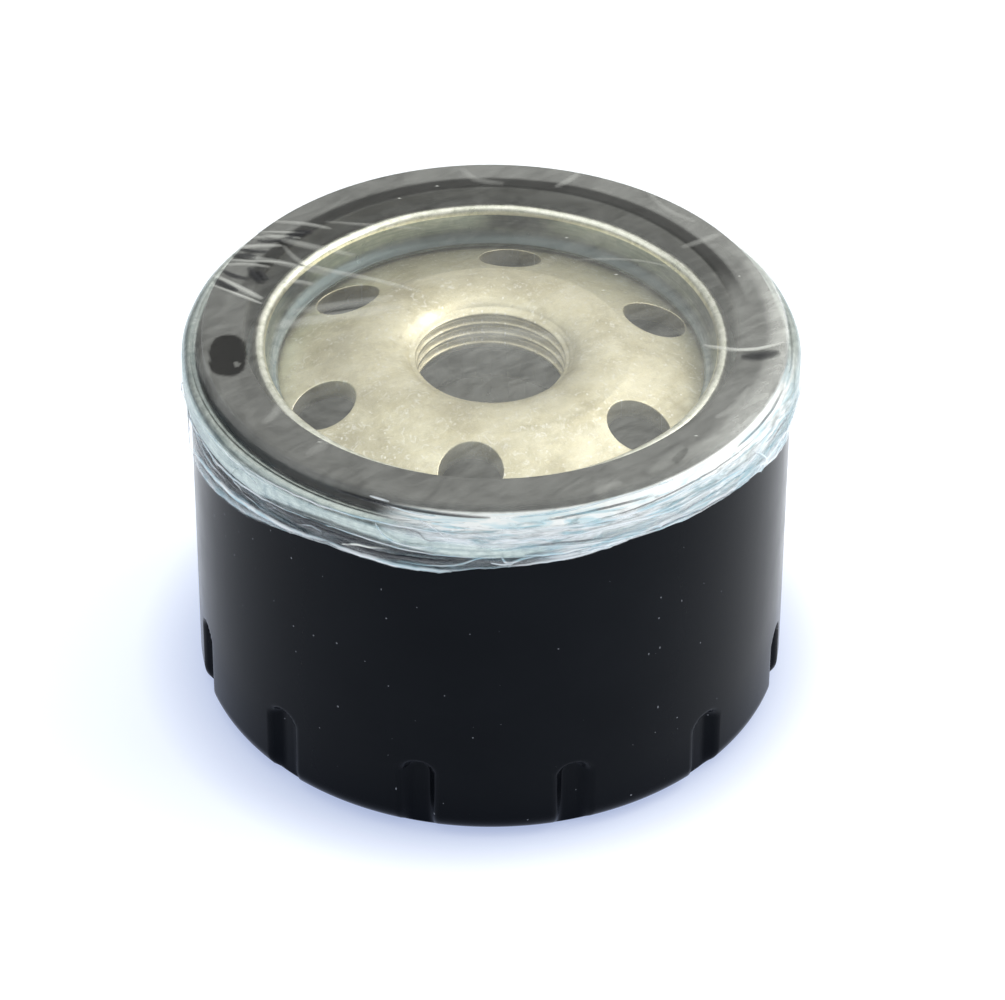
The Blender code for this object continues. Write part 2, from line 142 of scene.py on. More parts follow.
def even_line(points, spacing):
    """Points at an even spacing along a polyline, with its ends kept."""
    pts = np.array(points, float)
    along = np.r_[0, np.cumsum(np.hypot(*np.diff(pts, axis=0).T))]
    count = max(2, int(round(along[-1] / spacing)) + 1)
    at = np.linspace(0, along[-1], count)
    return list(zip(np.interp(at, along, pts[:, 0]), np.interp(at, along, pts[:, 1])))


def new_object(name, data):
    obj = bpy.data.objects.new(name, data)
    bpy.context.scene.collection.objects.link(obj)
    return obj


def smooth_object(name, mesh, material):
    mesh.materials.append(material)
    for polygon in mesh.polygons:
        polygon.use_smooth = True
    return new_object(name, mesh)


def make_object(name, verts, faces, material):
    """A mesh object from vertices in millimetres, with doubled vertices merged."""
    mesh = bpy.data.meshes.new(name)
    mesh.from_pydata((np.asarray(verts, float) * MM).tolist(), [], faces)
    mesh.update()
    bm = bmesh.new()
    bm.from_mesh(mesh)
    bmesh.ops.remove_doubles(bm, verts=bm.verts, dist=1e-7)
    bmesh.ops.recalc_face_normals(bm, faces=bm.faces)
    bm.to_mesh(mesh)
    bm.free()
    return smooth_object(name, mesh, material)


def ring_points(outline, columns, shape=None, phase_deg=0.0):
    """Vertices of an (r, z) outline turned round Z: one row of columns for each outline point."""
    angles = math.radians(phase_deg) + 2 * math.pi * np.arange(columns) / columns
    radii, heights = (np.array(v, float)[:, None] for v in zip(*outline))
    radii = np.repeat(radii, columns, axis=1)
    heights = np.repeat(heights, columns, axis=1)
    if shape:
        radii, heights = shape(radii, heights, angles[None, :])
    return np.stack([radii * np.cos(angles), radii * np.sin(angles), heights], axis=-1)


def ring_faces(rows, columns, closed, first=0):
    """Quads between neighbouring rows; a closed outline also joins its last row to its first."""
    faces = []
    for i in range(rows if closed else rows - 1):
        j = (i + 1) % rows
        for k in range(columns):
            m = (k + 1) % columns
            faces.append((first + i * columns + k, first + j * columns + k,
                          first + j * columns + m, first + i * columns + m))
    return faces


def turned(name, outline, columns, material, closed=True, shape=None, phase_deg=0.0):
    """A solid of revolution; an outline that is not closed ends on the axis at both ends."""
    points = ring_points(outline, columns, shape, phase_deg)
    verts = points.reshape(-1, 3)
    return make_object(name, verts, ring_faces(len(outline), columns, closed), material)


def smoothstep(x):
    x = np.clip(x, 0.0, 1.0)
    return x * x * (3 - 2 * x)


# ---- Material helpers

class Nodes:
    """A short way to write the node tree of a Principled material or of the world."""

    def __init__(self, name, world=False):
        self.owner = (bpy.data.worlds if world else bpy.data.materials).new(name)
        self.owner.use_nodes = True
        self.tree = self.owner.node_tree
        self.shader = self.tree.nodes["Background" if world else "Principled BSDF"]
        self.coords = self.add("ShaderNodeTexCoord").outputs
        self.object_coords = self.coords["Object"]

    def add(self, kind, **settings):
        node = self.tree.nodes.new(kind)
        for key, value in settings.items():
            setattr(node, key, value)
        return node

    def link(self, output, socket):
        self.tree.links.new(output, socket)

    def set(self, **values):
        """Set sockets of the shader, such as base_color or ior."""
        for key, value in values.items():
            title = "IOR" if key == "ior" else key.replace("_", " ").title()
            self.shader.inputs[title].default_value = value

    def feed(self, socket, value):
        """Link another node's output to a socket, or set the socket to a number or colour."""
        if hasattr(value, "is_linked"):
            self.link(value, socket)
        else:
            socket.default_value = (*value, 1.0) if isinstance(value, tuple) else value

    def math(self, operation, *values, clamp=False):
        node = self.add("ShaderNodeMath", operation=operation, use_clamp=clamp)
        for socket, value in zip(node.inputs, values):
            self.feed(socket, value)
        return node.outputs[0]

    def times(self, first, second):
        return self.math("MULTIPLY", first, second)

    def noise(self, scale_mm, detail=3.0, roughness=0.55, coords=None, distortion=0.0):
        """Noise whose largest lumps are about scale_mm across."""
        node = self.add("ShaderNodeTexNoise")
        node.inputs["Scale"].default_value = 1.0 / (scale_mm * MM)
        node.inputs["Detail"].default_value = detail
        node.inputs["Roughness"].default_value = roughness
        node.inputs["Distortion"].default_value = distortion
        self.link(coords or self.object_coords, node.inputs["Vector"])
        return node.outputs["Fac"]

    def ramp(self, value, *stops):
        """Colour or grey ramp; a stop is (position, grey) or (position, (r, g, b))."""
        node = self.add("ShaderNodeValToRGB")
        elements = node.color_ramp.elements
        while len(elements) < len(stops):
            elements.new(0.5)
        for element, (position, colour) in zip(elements, stops):
            element.position = position
            rgb = colour if isinstance(colour, tuple) else (colour,) * 3
            element.color = (*rgb, 1.0)
        self.link(value, node.inputs["Fac"])
        return node.outputs["Color"]

    def mix(self, factor, first, second):
        """Mix two colours or greys: sockets 6 and 7 are the mix node's colour inputs."""
        node = self.add("ShaderNodeMix", data_type="RGBA")
        for i, value in ((0, factor), (6, first), (7, second)):
            self.feed(node.inputs[i], value)
        return node.outputs[2]

    def xyz(self):
        split = self.add("ShaderNodeSeparateXYZ")
        self.link(self.object_coords, split.inputs[0])
        return split.outputs

    def join(self, *values):
        join = self.add("ShaderNodeCombineXYZ")
        for socket, value in zip(join.inputs, values):
            self.link(value, socket)
        return join.outputs[0]

    def radius(self):
        """Distance from the part's axis, in metres."""
        x, y, _ = self.xyz()
        return self.math("SQRT", self.math("ADD", self.times(x, x), self.times(y, y)))

    def polar(self, around_mm, across_mm, up_mm, at_radius_mm):
        """Coordinates that run round the axis, in steps of the given lengths."""
        x, y, z = self.xyz()
        angle = self.math("ARCTAN2", y, x)
        return self.join(self.times(angle, at_radius_mm / around_mm * MM),
                         self.math("DIVIDE", self.radius(), across_mm),
                         self.math("DIVIDE", z, up_mm))

    def unrolled(self, at_radius_mm):
        """Flat coordinates in millimetres: length round the axis, then height."""
        x, y, z = self.xyz()
        angle = self.math("ARCTAN2", y, x)
        return self.join(self.times(angle, at_radius_mm), self.math("DIVIDE", z, MM))

    def plan(self):
        """Flat coordinates in millimetres, seen from above."""
        scale = self.add("ShaderNodeVectorMath", operation="SCALE")
        scale.inputs["Scale"].default_value = 1.0 / MM
        self.link(self.object_coords, scale.inputs[0])
        return scale.outputs[0]

    def slanted(self, degrees, along_mm, across_mm):
        """Flat coordinates turned by an angle and drawn out along their first axis."""
        node = self.add("ShaderNodeMapping", vector_type="TEXTURE")
        node.inputs["Rotation"].default_value = (0.0, 0.0, math.radians(degrees))
        node.inputs["Scale"].default_value = (along_mm, across_mm, 4.0)
        self.link(self.object_coords, node.inputs["Vector"])
        return node.outputs[0]

    def bump(self, height, distance_mm, strength=1.0):
        node = self.add("ShaderNodeBump")
        node.inputs["Strength"].default_value = strength
        node.inputs["Distance"].default_value = distance_mm * MM
        self.link(height, node.inputs["Height"])
        self.link(node.outputs["Normal"], self.shader.inputs["Normal"])

    def drive(self, output, socket):
        self.link(output, self.shader.inputs[socket])

    def vary(self, socket, value, low, high):
        """Drive a shader socket between two looks, as noise does between 0.3 and 0.7."""
        self.drive(self.ramp(value, (0.3, low), (0.7, high)), socket)


def dust(nodes, coords, cell_mm, share, size):
    """Mask of small specks: a few cells of a flat Voronoi pattern hold one dot each."""
    stretch = nodes.add("ShaderNodeVectorMath", operation="MULTIPLY")
    stretch.inputs[1].default_value = (1.0 / cell_mm[0], 1.0 / cell_mm[1], 0.0)
    nodes.link(coords, stretch.inputs[0])
    cells = nodes.add("ShaderNodeTexVoronoi", feature="F1", voronoi_dimensions="2D")
    cells.inputs["Scale"].default_value = 1.0
    nodes.link(stretch.outputs[0], cells.inputs["Vector"])
    chosen = nodes.add("ShaderNodeSeparateColor")
    nodes.link(cells.outputs["Color"], chosen.inputs[0])
    near = nodes.math("LESS_THAN", cells.outputs["Distance"],
                      nodes.times(chosen.outputs[1], 2.0 * size))
    rare = nodes.math("LESS_THAN", chosen.outputs[0], share)
    return nodes.times(near, rare)


# ---- Materials

def can_paint():
    """Satin black paint: faint orange peel, uneven gloss and pale dust."""
    n = Nodes("black_can_paint")
    n.set(metallic=0.0, ior=1.145, specular_tint=(0.74, 0.84, 1.0, 1.0))
    cloud = n.noise(14.0, 4.0)
    around = n.unrolled(CAN_R)
    specks = n.math("MAXIMUM", dust(n, around, (3.4, 3.4), 0.20, 0.020),
                    dust(n, around, (1.6, 3.2), 0.030, 0.030))
    colour = n.ramp(cloud, (0.3, (0.0026, 0.0032, 0.0046)), (0.7, (0.0040, 0.0048, 0.0066)))
    n.drive(n.mix(specks, colour, (0.17, 0.18, 0.20)), "Base Color")
    n.vary("Roughness", n.noise(6.0, 5.0), 0.14, 0.22)
    n.bump(n.noise(0.55, 2.0), 0.010, 0.35)
    return n.owner


def zinc_lid():
    """Clear-zinc sheet: blue-green, roll marks, worn hem with a painted highlight, painted shade
    inside.
    """
    n = Nodes("zinc_lid")
    n.set(metallic=1.0)
    marks = n.noise(1.0, 3.0, coords=n.polar(6.0, 0.35, 0.35, LID_WORN_SHEEN_R))
    mottle = n.noise(1.1, 5.0, 0.65)
    cast = n.noise(9.0, 2.0)
    sheet = n.ramp(cast, (0.35, (0.30, 0.37, 0.38)), (0.65, (0.38, 0.43, 0.41)))
    # Pale zinc for the hem: part wear, part painted highlight.
    worn_sheen_colour = n.ramp(mottle, (0.35, (0.70, 0.72, 0.58)), (0.60, (0.99, 0.99, 0.87)))
    radius = n.radius()
    _, y, z = n.xyz()
    high = n.math("GREATER_THAN", z, LID_WORN_SHEEN_Z * MM)
    hem = n.times(n.math("LESS_THAN", radius, LID_WORN_SHEEN_R * MM), high)
    shoulder = n.times(n.math("GREATER_THAN", radius, CHANNEL_OUT_R * MM), high)
    patches = n.ramp(mottle, (0.36, 0.0), (0.64, 0.70))
    body = n.mix(patches, sheet, (0.66, 0.73, 0.68))
    body = n.mix(n.ramp(marks, (0.45, 0.0), (0.62, 0.55)), body, (0.20, 0.27, 0.28))
    # Painted shade: inside the lid the colour darkens deeper below the hem and towards the far
    # side.
    inside = n.math("LESS_THAN", radius, (WALL_IN_R + 0.15) * MM)
    depth = n.math("DIVIDE", n.math("SUBTRACT", LID_WORN_SHEEN_Z * MM, z), 3.0 * MM, clamp=True)
    far = n.math("MULTIPLY_ADD", y, 1.0 / (60.0 * MM), 0.5, clamp=True)
    painted_shade = n.times(inside, n.math("MULTIPLY_ADD", depth, 0.66, 0.30))
    painted_shade = n.times(painted_shade, n.ramp(far, (0.42, 0.10), (0.78, 1.0)))
    body = n.mix(painted_shade, body, (0.07, 0.09, 0.09))
    # The hem, and faintly the shoulder, take the pale worn zinc and its painted highlight.
    worn_sheen_mask = n.math("ADD", hem, n.times(shoulder, 0.14))
    n.drive(n.mix(worn_sheen_mask, body, worn_sheen_colour), "Base Color")
    n.vary("Roughness", mottle, 0.26, 0.46)
    n.bump(n.math("ADD", marks, mottle), 0.03, 0.45)
    return n.owner


def plate_zinc():
    """Pale yellow passivated zinc: cloudy, satin, with painted glints and small bright nicks."""
    n = Nodes("pale_yellow_zinc")
    n.set(metallic=1.0)
    cloud = n.noise(7.0, 7.0, 0.66, distortion=0.25)
    grain = n.noise(0.45, 3.0, 0.6)
    # Painted glints: near-white flecks in the colour stand in for sparkle.
    glint_noise = n.noise(1.3, 5.0, 0.75, distortion=2.0)
    glint = n.ramp(glint_noise, (0.55, 0.0), (0.64, 1.0))
    stain = n.ramp(n.noise(1.0, 5.0, 0.7), (0.30, 1.0), (0.42, 0.0))
    base = n.ramp(cloud, (0.34, (0.54, 0.49, 0.325)), (0.48, (0.70, 0.65, 0.45)),
                  (0.62, (0.87, 0.82, 0.60)))
    nicks = dust(n, n.plan(), (1.3, 1.9), 0.36, 0.055)
    bright = n.math("MAXIMUM", n.times(glint, 0.7), n.times(nicks, 0.8))
    clean = n.mix(bright, base, (0.98, 0.96, 0.86))
    n.drive(n.mix(n.times(stain, 0.35), clean, (0.42, 0.36, 0.23)), "Base Color")
    n.vary("Roughness", cloud, 0.54, 0.42)
    n.bump(n.math("ADD", grain, n.times(cloud, 1.5)), 0.03, 0.6)
    return n.owner


def rubber(name, grey, mottle_mm, roughness):
    """Moulded rubber: matt, slightly uneven in tone, with a fine skin."""
    n = Nodes(name)
    n.set(metallic=0.0, ior=1.35)
    tone = n.noise(mottle_mm, 5.0, 0.6)
    low, high = grey * 0.8, grey * 1.25
    n.vary("Base Color", tone, (low, low, low * 0.94), (high, high, high * 0.94))
    n.vary("Roughness", tone, roughness - 0.06, roughness + 0.06)
    n.bump(n.noise(0.3, 3.0), 0.012, 0.4)
    return n.owner


def tinplate():
    """Bright tinned sheet with a soft spangle."""
    n = Nodes("tinned_sheet")
    n.set(metallic=1.0)
    spangle = n.noise(2.5, 3.0)
    n.vary("Base Color", spangle, (0.58, 0.58, 0.56), (0.74, 0.74, 0.71))
    n.vary("Roughness", spangle, 0.26, 0.40)
    n.bump(n.noise(0.6, 2.0), 0.01, 0.3)
    return n.owner


def spring_steel():
    """Drawn wire and strip: darker steel with fine draw marks."""
    n = Nodes("spring_steel_wire")
    n.set(metallic=1.0)
    marks = n.noise(0.8, 4.0)
    n.vary("Base Color", marks, (0.36, 0.36, 0.37), (0.52, 0.52, 0.54))
    n.vary("Roughness", marks, 0.30, 0.42)
    n.bump(marks, 0.01, 0.3)
    return n.owner


def filter_paper():
    """Resin-treated paper with fibres."""
    n = Nodes("resin_paper")
    n.set(metallic=0.0)
    fibres = n.noise(0.4, 5.0, 0.7, distortion=1.2)
    n.vary("Base Color", fibres, (0.62, 0.49, 0.27), (0.78, 0.66, 0.42))
    n.vary("Roughness", fibres, 0.85, 0.95)
    n.bump(fibres, 0.03, 0.5)
    return n.owner


def plain_plastic(name, dark, light, roughness):
    """Cured or moulded plastic with a little tone variation."""
    n = Nodes(name)
    n.set(metallic=0.0)
    tone = n.noise(3.0, 4.0)
    n.vary("Base Color", tone, dark, light)
    n.vary("Roughness", tone, roughness - 0.05, roughness + 0.05)
    n.bump(n.noise(0.5, 3.0), 0.01, 0.3)
    return n.owner


def clear_film():
    """Thin shrink film: mostly see-through, a milky veil with painted sheen, streaks, and painted
    light and dark lines along creases and folds.
    """
    n = Nodes("shrink_film")
    n.set(metallic=0.0, roughness=0.22, ior=1.5)
    painted_line, haze_and_sheen, shade = (n.add("ShaderNodeAttribute", attribute_name=name).outputs["Fac"]
                           for name in ("painted_line", "haze_and_sheen", "shade"))
    on_skirt = n.ramp(shade, (0.15, 0.0), (0.35, 1.0), (0.90, 1.0), (0.97, 0.0))
    cloud = n.noise(9.0, 6.0, 0.62, distortion=1.6)
    fine = n.noise(0.8, 4.0, 0.7, distortion=0.8)
    brushed = n.noise(1.0, 5.0, 0.62, coords=n.slanted(38.0, 7.0, 1.9), distortion=1.3)
    pulled = n.noise(1.0, 6.0, 0.66, coords=n.polar(6.0, 1.0, 0.8, BEAD_R), distortion=1.3)
    milk = n.math("ADD", n.ramp(cloud, (0.30, 0.30), (0.72, 0.75)),
                  n.ramp(brushed, (0.34, 0.26), (0.66, 0.66)))
    skirt_milk = n.ramp(pulled, (0.36, 0.34), (0.50, 0.90), (0.62, 1.40))
    milk = n.mix(on_skirt, milk, skirt_milk)
    # Opacity of the white film: the veil, plus painted lines standing in for highlights and dark
    # reflections.
    n.drive(n.math("ADD", n.times(haze_and_sheen, milk), painted_line, clamp=True), "Alpha")
    # Colour by shade: warm white on the top, a cooler white on the skirt painted for bluish light
    # from below, near black for painted dark reflections along folds and creases.
    tone = n.ramp(shade, (0.0, (0.96, 0.98, 0.93)), (0.5, (0.92, 0.97, 1.0)),
                  (1.0, (0.022, 0.024, 0.030)))
    tinted = n.ramp(n.noise(1.0, 4.0, 0.6, coords=n.polar(8.0, 1.0, 0.9, BEAD_R), distortion=1.0),
                    (0.46, 0.0), (0.62, 0.80))
    n.drive(n.mix(n.times(tinted, on_skirt), tone, (0.40, 0.66, 0.76)), "Base Color")
    n.bump(fine, 0.02, 0.25)
    return n.owner


# ---- Can

def flute_amount(angle, height):
    """How far a point on the can is pressed in, from 0 to 1, for arrays of angles and heights."""
    spacing = 2 * math.pi / FLUTE_COUNT
    phase = math.radians(FLUTE_PHASE_DEG)
    offset = (angle - phase + spacing / 2) % spacing - spacing / 2
    centre = angle - offset
    top = FLUTE_TOP - FLUTE_TOP_TILT * np.cos(centre)
    across = np.abs(offset) * CAN_R
    above = np.maximum(0.0, height - (top - FLUTE_HALF_OUT))
    distance = np.hypot(across, above)
    return smoothstep((FLUTE_HALF_OUT - distance) / (FLUTE_HALF_OUT - FLUTE_HALF_IN))


def press_flutes(radius, height, angle):
    """Press the flutes into the can's wall, outside and inside alike."""
    inside = np.array(IS_INSIDE)[:, None]
    floor = CAN_R - FLUTE_DEPTH - CAN_WALL * inside
    pressed = radius - np.maximum(0.0, radius - floor) * flute_amount(angle, height)
    return pressed, height


def can_outline():
    """Outside from the centre of the closed end up to the rim, then back down inside."""
    inner_r = CAN_R - CAN_WALL
    base = [(0, 0.35), (20.5, 0.35), (21.3, 0.30), (22.0, 0.08), (22.6, 0)]
    corner = arc(CAN_R - CORNER_R, CORNER_R, CORNER_R, -90, 0, 14)
    wall = [(CAN_R, z) for z in np.linspace(CORNER_R, 15.0, 44)[1:]]
    wall += [(CAN_R, z) for z in np.linspace(15.0, CAN_TOP, 10)[1:]]
    outside = base + corner + wall
    inner_wall = [(inner_r, z) for _, z in reversed(wall[::3])]
    inner_corner = arc(CAN_R - CORNER_R, CORNER_R, CORNER_R - CAN_WALL, 0, -90, 6)
    inside = [(inner_r, CAN_TOP)] + inner_wall + inner_corner + [(0, CAN_WALL + 0.3)]
    return outside, inside


CAN_OUTSIDE, CAN_INSIDE = can_outline()
IS_INSIDE = [0.0] * len(CAN_OUTSIDE) + [1.0] * len(CAN_INSIDE)


def build_can(material):
    can = turned("can_shell", CAN_OUTSIDE + CAN_INSIDE, 480, material, closed=False,
                 shape=press_flutes, phase_deg=FLUTE_PHASE_DEG)
    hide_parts("can")
    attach(can, "filter")


# ---- Lid

def build_lid(material):
    """Flange on the plate, hemmed inner wall, gasket channel, shoulder and rolled bead."""
    bend, bend_z = 1.8, 46.6
    hem = (WALL_OUT_R - WALL_IN_R) / 2
    bead = 1.25
    bead_r, bead_z = BEAD_R - bead, SHOULDER_Z - bead
    outline = [(26.75, 44.34), (26.7, 44.5), (26.75, 44.76)]
    outline += arc(WALL_IN_R - bend, bend_z, bend, -82, 0, 8)
    outline += [(WALL_IN_R, 48.0), (WALL_IN_R - 0.06, 48.25)]
    outline += arc(WALL_IN_R + hem, LID_TOP - hem, hem, 180, 0, 10)
    outline += even_line([(WALL_OUT_R, LID_TOP - hem - 0.2), (WALL_OUT_R, CHANNEL_Z + 0.5)], 0.5)
    outline += arc(WALL_OUT_R + 0.5, CHANNEL_Z + 0.5, 0.5, 180, 270, 5)
    outline += even_line([(WALL_OUT_R + 0.8, CHANNEL_Z), (CHANNEL_OUT_R - 0.8, CHANNEL_Z)], 1.0)
    outline += arc(CHANNEL_OUT_R - 0.5, CHANNEL_Z + 0.5, 0.5, 270, 360, 5)
    outline += arc(CHANNEL_OUT_R + 0.7, SHOULDER_Z - 0.75, 0.7, 180, 80, 6)
    outline += [(37.05, SHOULDER_Z - 0.12), (37.2, SHOULDER_Z - 0.05)]
    outline += arc(bead_r, bead_z, bead, 80, 0, 12)
    outline += even_line([(BEAD_R, bead_z - 0.3), (BEAD_R, SKIRT_Z + 0.5)], 0.4)
    outline += arc(BEAD_R - 0.25, SKIRT_Z + 0.25, 0.25, 0, -180, 6)
    outline += arc(bead_r, bead_z, bead - LID_SHEET, 0, 90, 6)
    outline += [(CHANNEL_OUT_R + 0.8, SHOULDER_Z - LID_SHEET)]
    outline += [(CHANNEL_OUT_R + LID_SHEET, SHOULDER_Z - 0.8)]
    outline += [(CHANNEL_OUT_R + LID_SHEET, CHANNEL_Z - 0.1)]
    outline += [(CHANNEL_OUT_R + 0.1, CHANNEL_Z - LID_SHEET)]
    outline += [(WALL_OUT_R - 0.6, CHANNEL_Z - LID_SHEET)]
    outline += arc(WALL_IN_R - bend, bend_z, bend + LID_SHEET, -30, -78, 5)

    def uneven(radius, height, angle):
        """Rolled sheet is never quite round: a slow wave in the bead and the hem's edge."""
        rim = smoothstep((radius - 37.0) / 1.2)
        hem_top = smoothstep((height - 48.3) / 0.8) * (radius < 30.0)
        radius = radius + rim * 0.05 * np.sin(7 * angle + 0.4) + rim * 0.03 * np.sin(19 * angle)
        height = height + hem_top * (0.06 * np.sin(5 * angle) + 0.04 * np.sin(13 * angle + 1.0))
        return radius, height

    lid = turned("lid_shell", outline, 288, material, shape=uneven)
    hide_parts("seaming_lid")
    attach(lid, "filter")


# ---- Base plate

def cone_z(radius):
    return HOLE_Z + CONE_SLOPE * (HOLE_PITCH_R - radius)


def thread_radius(height, angle):
    """Right-hand internal thread: flattened ridges that climb one pitch a turn."""
    climb = (height / THREAD_PITCH - angle / (2 * math.pi)) % 1.0
    ridge = smoothstep((np.abs(climb - 0.5) * 2 - 0.14) / 0.66)
    depth = (THREAD_MAJOR_R - THREAD_MINOR_R) * ridge
    lead = np.clip((height - THREAD_TOP + 0.35) / 0.45, 0.0, 1.0)
    foot = np.clip((PLATE_BOTTOM + 0.7 - height) / 0.5, 0.0, 1.0)
    end = np.maximum(lead, foot)
    return THREAD_MINOR_R + depth * (1 - end) + (THREAD_MAJOR_R - THREAD_MINOR_R) * end ** 2


def plate_middle():
    """Outline from the sector's lower inner edge, down the collar, up the thread to the dome."""
    under = smooth_line([(SECTOR_IN_R, cone_z(SECTOR_IN_R) - PLATE_THICK), (15.4, 45.2),
                         (13.4, 44.7), (COLLAR_R, 43.6)], 5)
    under += [(COLLAR_R, z) for z in (42.6, 41.6, PLATE_BOTTOM + 0.5)]
    under += [(COLLAR_R - 0.15, PLATE_BOTTOM + 0.15), (COLLAR_R - 0.5, PLATE_BOTTOM)]
    bore = [(THREAD_MAJOR_R, z) for z in np.arange(PLATE_BOTTOM, THREAD_TOP + 0.05, 0.1)]
    dome = smooth_line([(10.15, THREAD_TOP + 0.15), (10.6, 47.05), (11.4, 47.5), (12.8, 47.82),
                        (14.6, 47.86), (16.0, 47.68), (SECTOR_IN_R, cone_z(SECTOR_IN_R))], 6)
    return under, bore, dome


def plate_rim():
    """Outline from the sector's upper outer edge, round the rim under the lid, and back."""
    rim_z = CHANNEL_Z - LID_SHEET - 0.3
    upper = smooth_line([(SECTOR_OUT_R, cone_z(SECTOR_OUT_R)), (28.4, 43.55), (29.6, 44.1),
                         (30.4, rim_z - 0.1), (31.2, rim_z)], 4)
    lower = smooth_line([(31.0, rim_z - PLATE_THICK), (30.0, 41.8), (28.3, 41.1),
                         (SECTOR_OUT_R, cone_z(SECTOR_OUT_R) - PLATE_THICK)], 4)
    edge = [(PLATE_R - 0.2, rim_z), (PLATE_R, rim_z - 0.2), (PLATE_R, rim_z - PLATE_THICK + 0.3),
            (PLATE_R - 0.3, rim_z - PLATE_THICK)]
    return upper + edge + lower


def sector_border(inner_steps, side_steps, outer_steps):
    """Points round the edge of one hole's sector of the cone, in polar form about +X."""
    half = math.pi / HOLE_COUNT
    border = [(SECTOR_OUT_R, a) for a in np.linspace(-half, half, outer_steps + 1)[:-1]]
    border += [(r, half) for r in np.linspace(SECTOR_OUT_R, SECTOR_IN_R, side_steps + 1)[:-1]]
    border += [(SECTOR_IN_R, a) for a in np.linspace(half, -half, inner_steps + 1)[:-1]]
    border += [(r, -half) for r in np.linspace(SECTOR_IN_R, SECTOR_OUT_R, side_steps + 1)[:-1]]
    return np.array([(r * math.cos(a), r * math.sin(a)) for r, a in border])


def sector_rings(border):
    """Rings from the sector's upper border, over the hole's rounded edge, to its lower border."""
    centre = np.array([HOLE_PITCH_R, 0.0])
    reach_out = border - centre
    distance = np.hypot(*reach_out.T)[:, None]
    unit = reach_out / distance
    edge = 0.13
    rings = []
    spread = (1.0, 0.75, 0.5, 0.3, 0.15, 0.05)

    def add(radial, drop, below):
        plan = centre + unit * radial
        height = cone_z(np.hypot(*plan.T)) - drop - below
        rings.append(np.c_[plan, height])

    for share in spread:
        add(HOLE_R + edge + (distance - HOLE_R - edge) * share, 0.0, 0.0)
    for turn in np.radians((0, 22, 45, 68, 90)):
        add(HOLE_R + edge * (1 - math.sin(turn)), edge * (1 - math.cos(turn)), 0.0)
    for share in (0.35, 0.7):
        add(HOLE_R, share * PLATE_THICK, 0.0)
    add(HOLE_R, -0.06, PLATE_THICK)
    add(HOLE_R + 0.1, 0.0, PLATE_THICK)
    for share in reversed(spread):
        add(HOLE_R + 0.3 + (distance - HOLE_R - 0.3) * share, 0.0, PLATE_THICK)
    return rings


def build_base_plate(material):
    """Collar and dome, six sectors with an inlet hole each, and the rim, as one solid."""
    inner_steps, side_steps, outer_steps = 40, 16, 48
    verts, faces = [], []

    def append(points, rows, columns):
        first = len(verts)
        verts.extend(points.reshape(-1, 3).tolist())
        faces.extend(ring_faces(rows, columns, False, first))

    under, bore, dome = plate_middle()
    start = len(under)
    outline = under + bore + dome

    def cut_thread(radius, height, angle):
        radius = radius.copy()
        rows = slice(start, start + len(bore))
        radius[rows] = thread_radius(height[rows], np.broadcast_to(angle, radius[rows].shape))
        return radius, height

    phase = HOLE_PHASE_DEG - 180 / HOLE_COUNT
    columns = inner_steps * HOLE_COUNT
    append(ring_points(outline, columns, cut_thread, phase), len(outline), columns)
    rim = plate_rim()
    columns = outer_steps * HOLE_COUNT
    append(ring_points(rim, columns, None, phase), len(rim), columns)
    rings = sector_rings(sector_border(inner_steps, side_steps, outer_steps))
    for i in range(HOLE_COUNT):
        turn = math.radians(HOLE_PHASE_DEG - i * 360 / HOLE_COUNT)
        spin = np.array([[math.cos(turn), math.sin(turn)], [-math.sin(turn), math.cos(turn)]])
        points = np.array([np.c_[ring[:, :2] @ spin, ring[:, 2]] for ring in rings])
        append(points, len(rings), points.shape[1])
    plate = make_object("plate_body", verts, faces, material)
    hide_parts("base_plate")
    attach(plate, "filter")


# ---- Gasket

def build_gasket(material):
    """Moulded ring: rounded edges, faintly dished face."""
    low, high, edge = GASKET_BOTTOM, GASKET_TOP, 0.45
    outline = even_line([(GASKET_IN_R, high - edge), (GASKET_IN_R, low + 0.2)], 0.6)
    outline += [(GASKET_IN_R + 0.2, low), (GASKET_R - 0.2, low)]
    outline += even_line([(GASKET_R, low + 0.2), (GASKET_R, high - edge)], 0.6)
    outline += arc(GASKET_R - edge, high - edge, edge, 0, 90, 6)[1:]
    middle = (GASKET_IN_R + GASKET_R) / 2
    for r in np.linspace(GASKET_R - edge - 0.3, GASKET_IN_R + edge + 0.3, 9):
        outline.append((r, high - 0.06 * math.exp(-((r - middle) / 1.2) ** 2)))
    outline += arc(GASKET_IN_R + edge, high - edge, edge, 90, 180, 6)[:-1]
    gasket = turned("gasket_ring", outline, 288, material)
    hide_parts("sealing_gasket")
    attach(gasket, "filter")


# ---- Film
# Angles on the film's skirt are in degrees from the front (-Y) towards +X.

# Height of the cut lower edge at a few angles
FILM_EDGE = ((-180, 42.0), (-140, 41.2), (-110, 39.0), (-84, 35.8), (-66, 38.0), (-48, 40.4),
             (-31, 42.2), (-9, 41.8), (-2, 42.9), (15, 43.6), (25, 44.5), (38, 44.3),
             (50, 43.9), (59, 43.4), (68, 41.6), (90, 40.8), (120, 42.0), (150, 41.4),
             (180, 42.0))

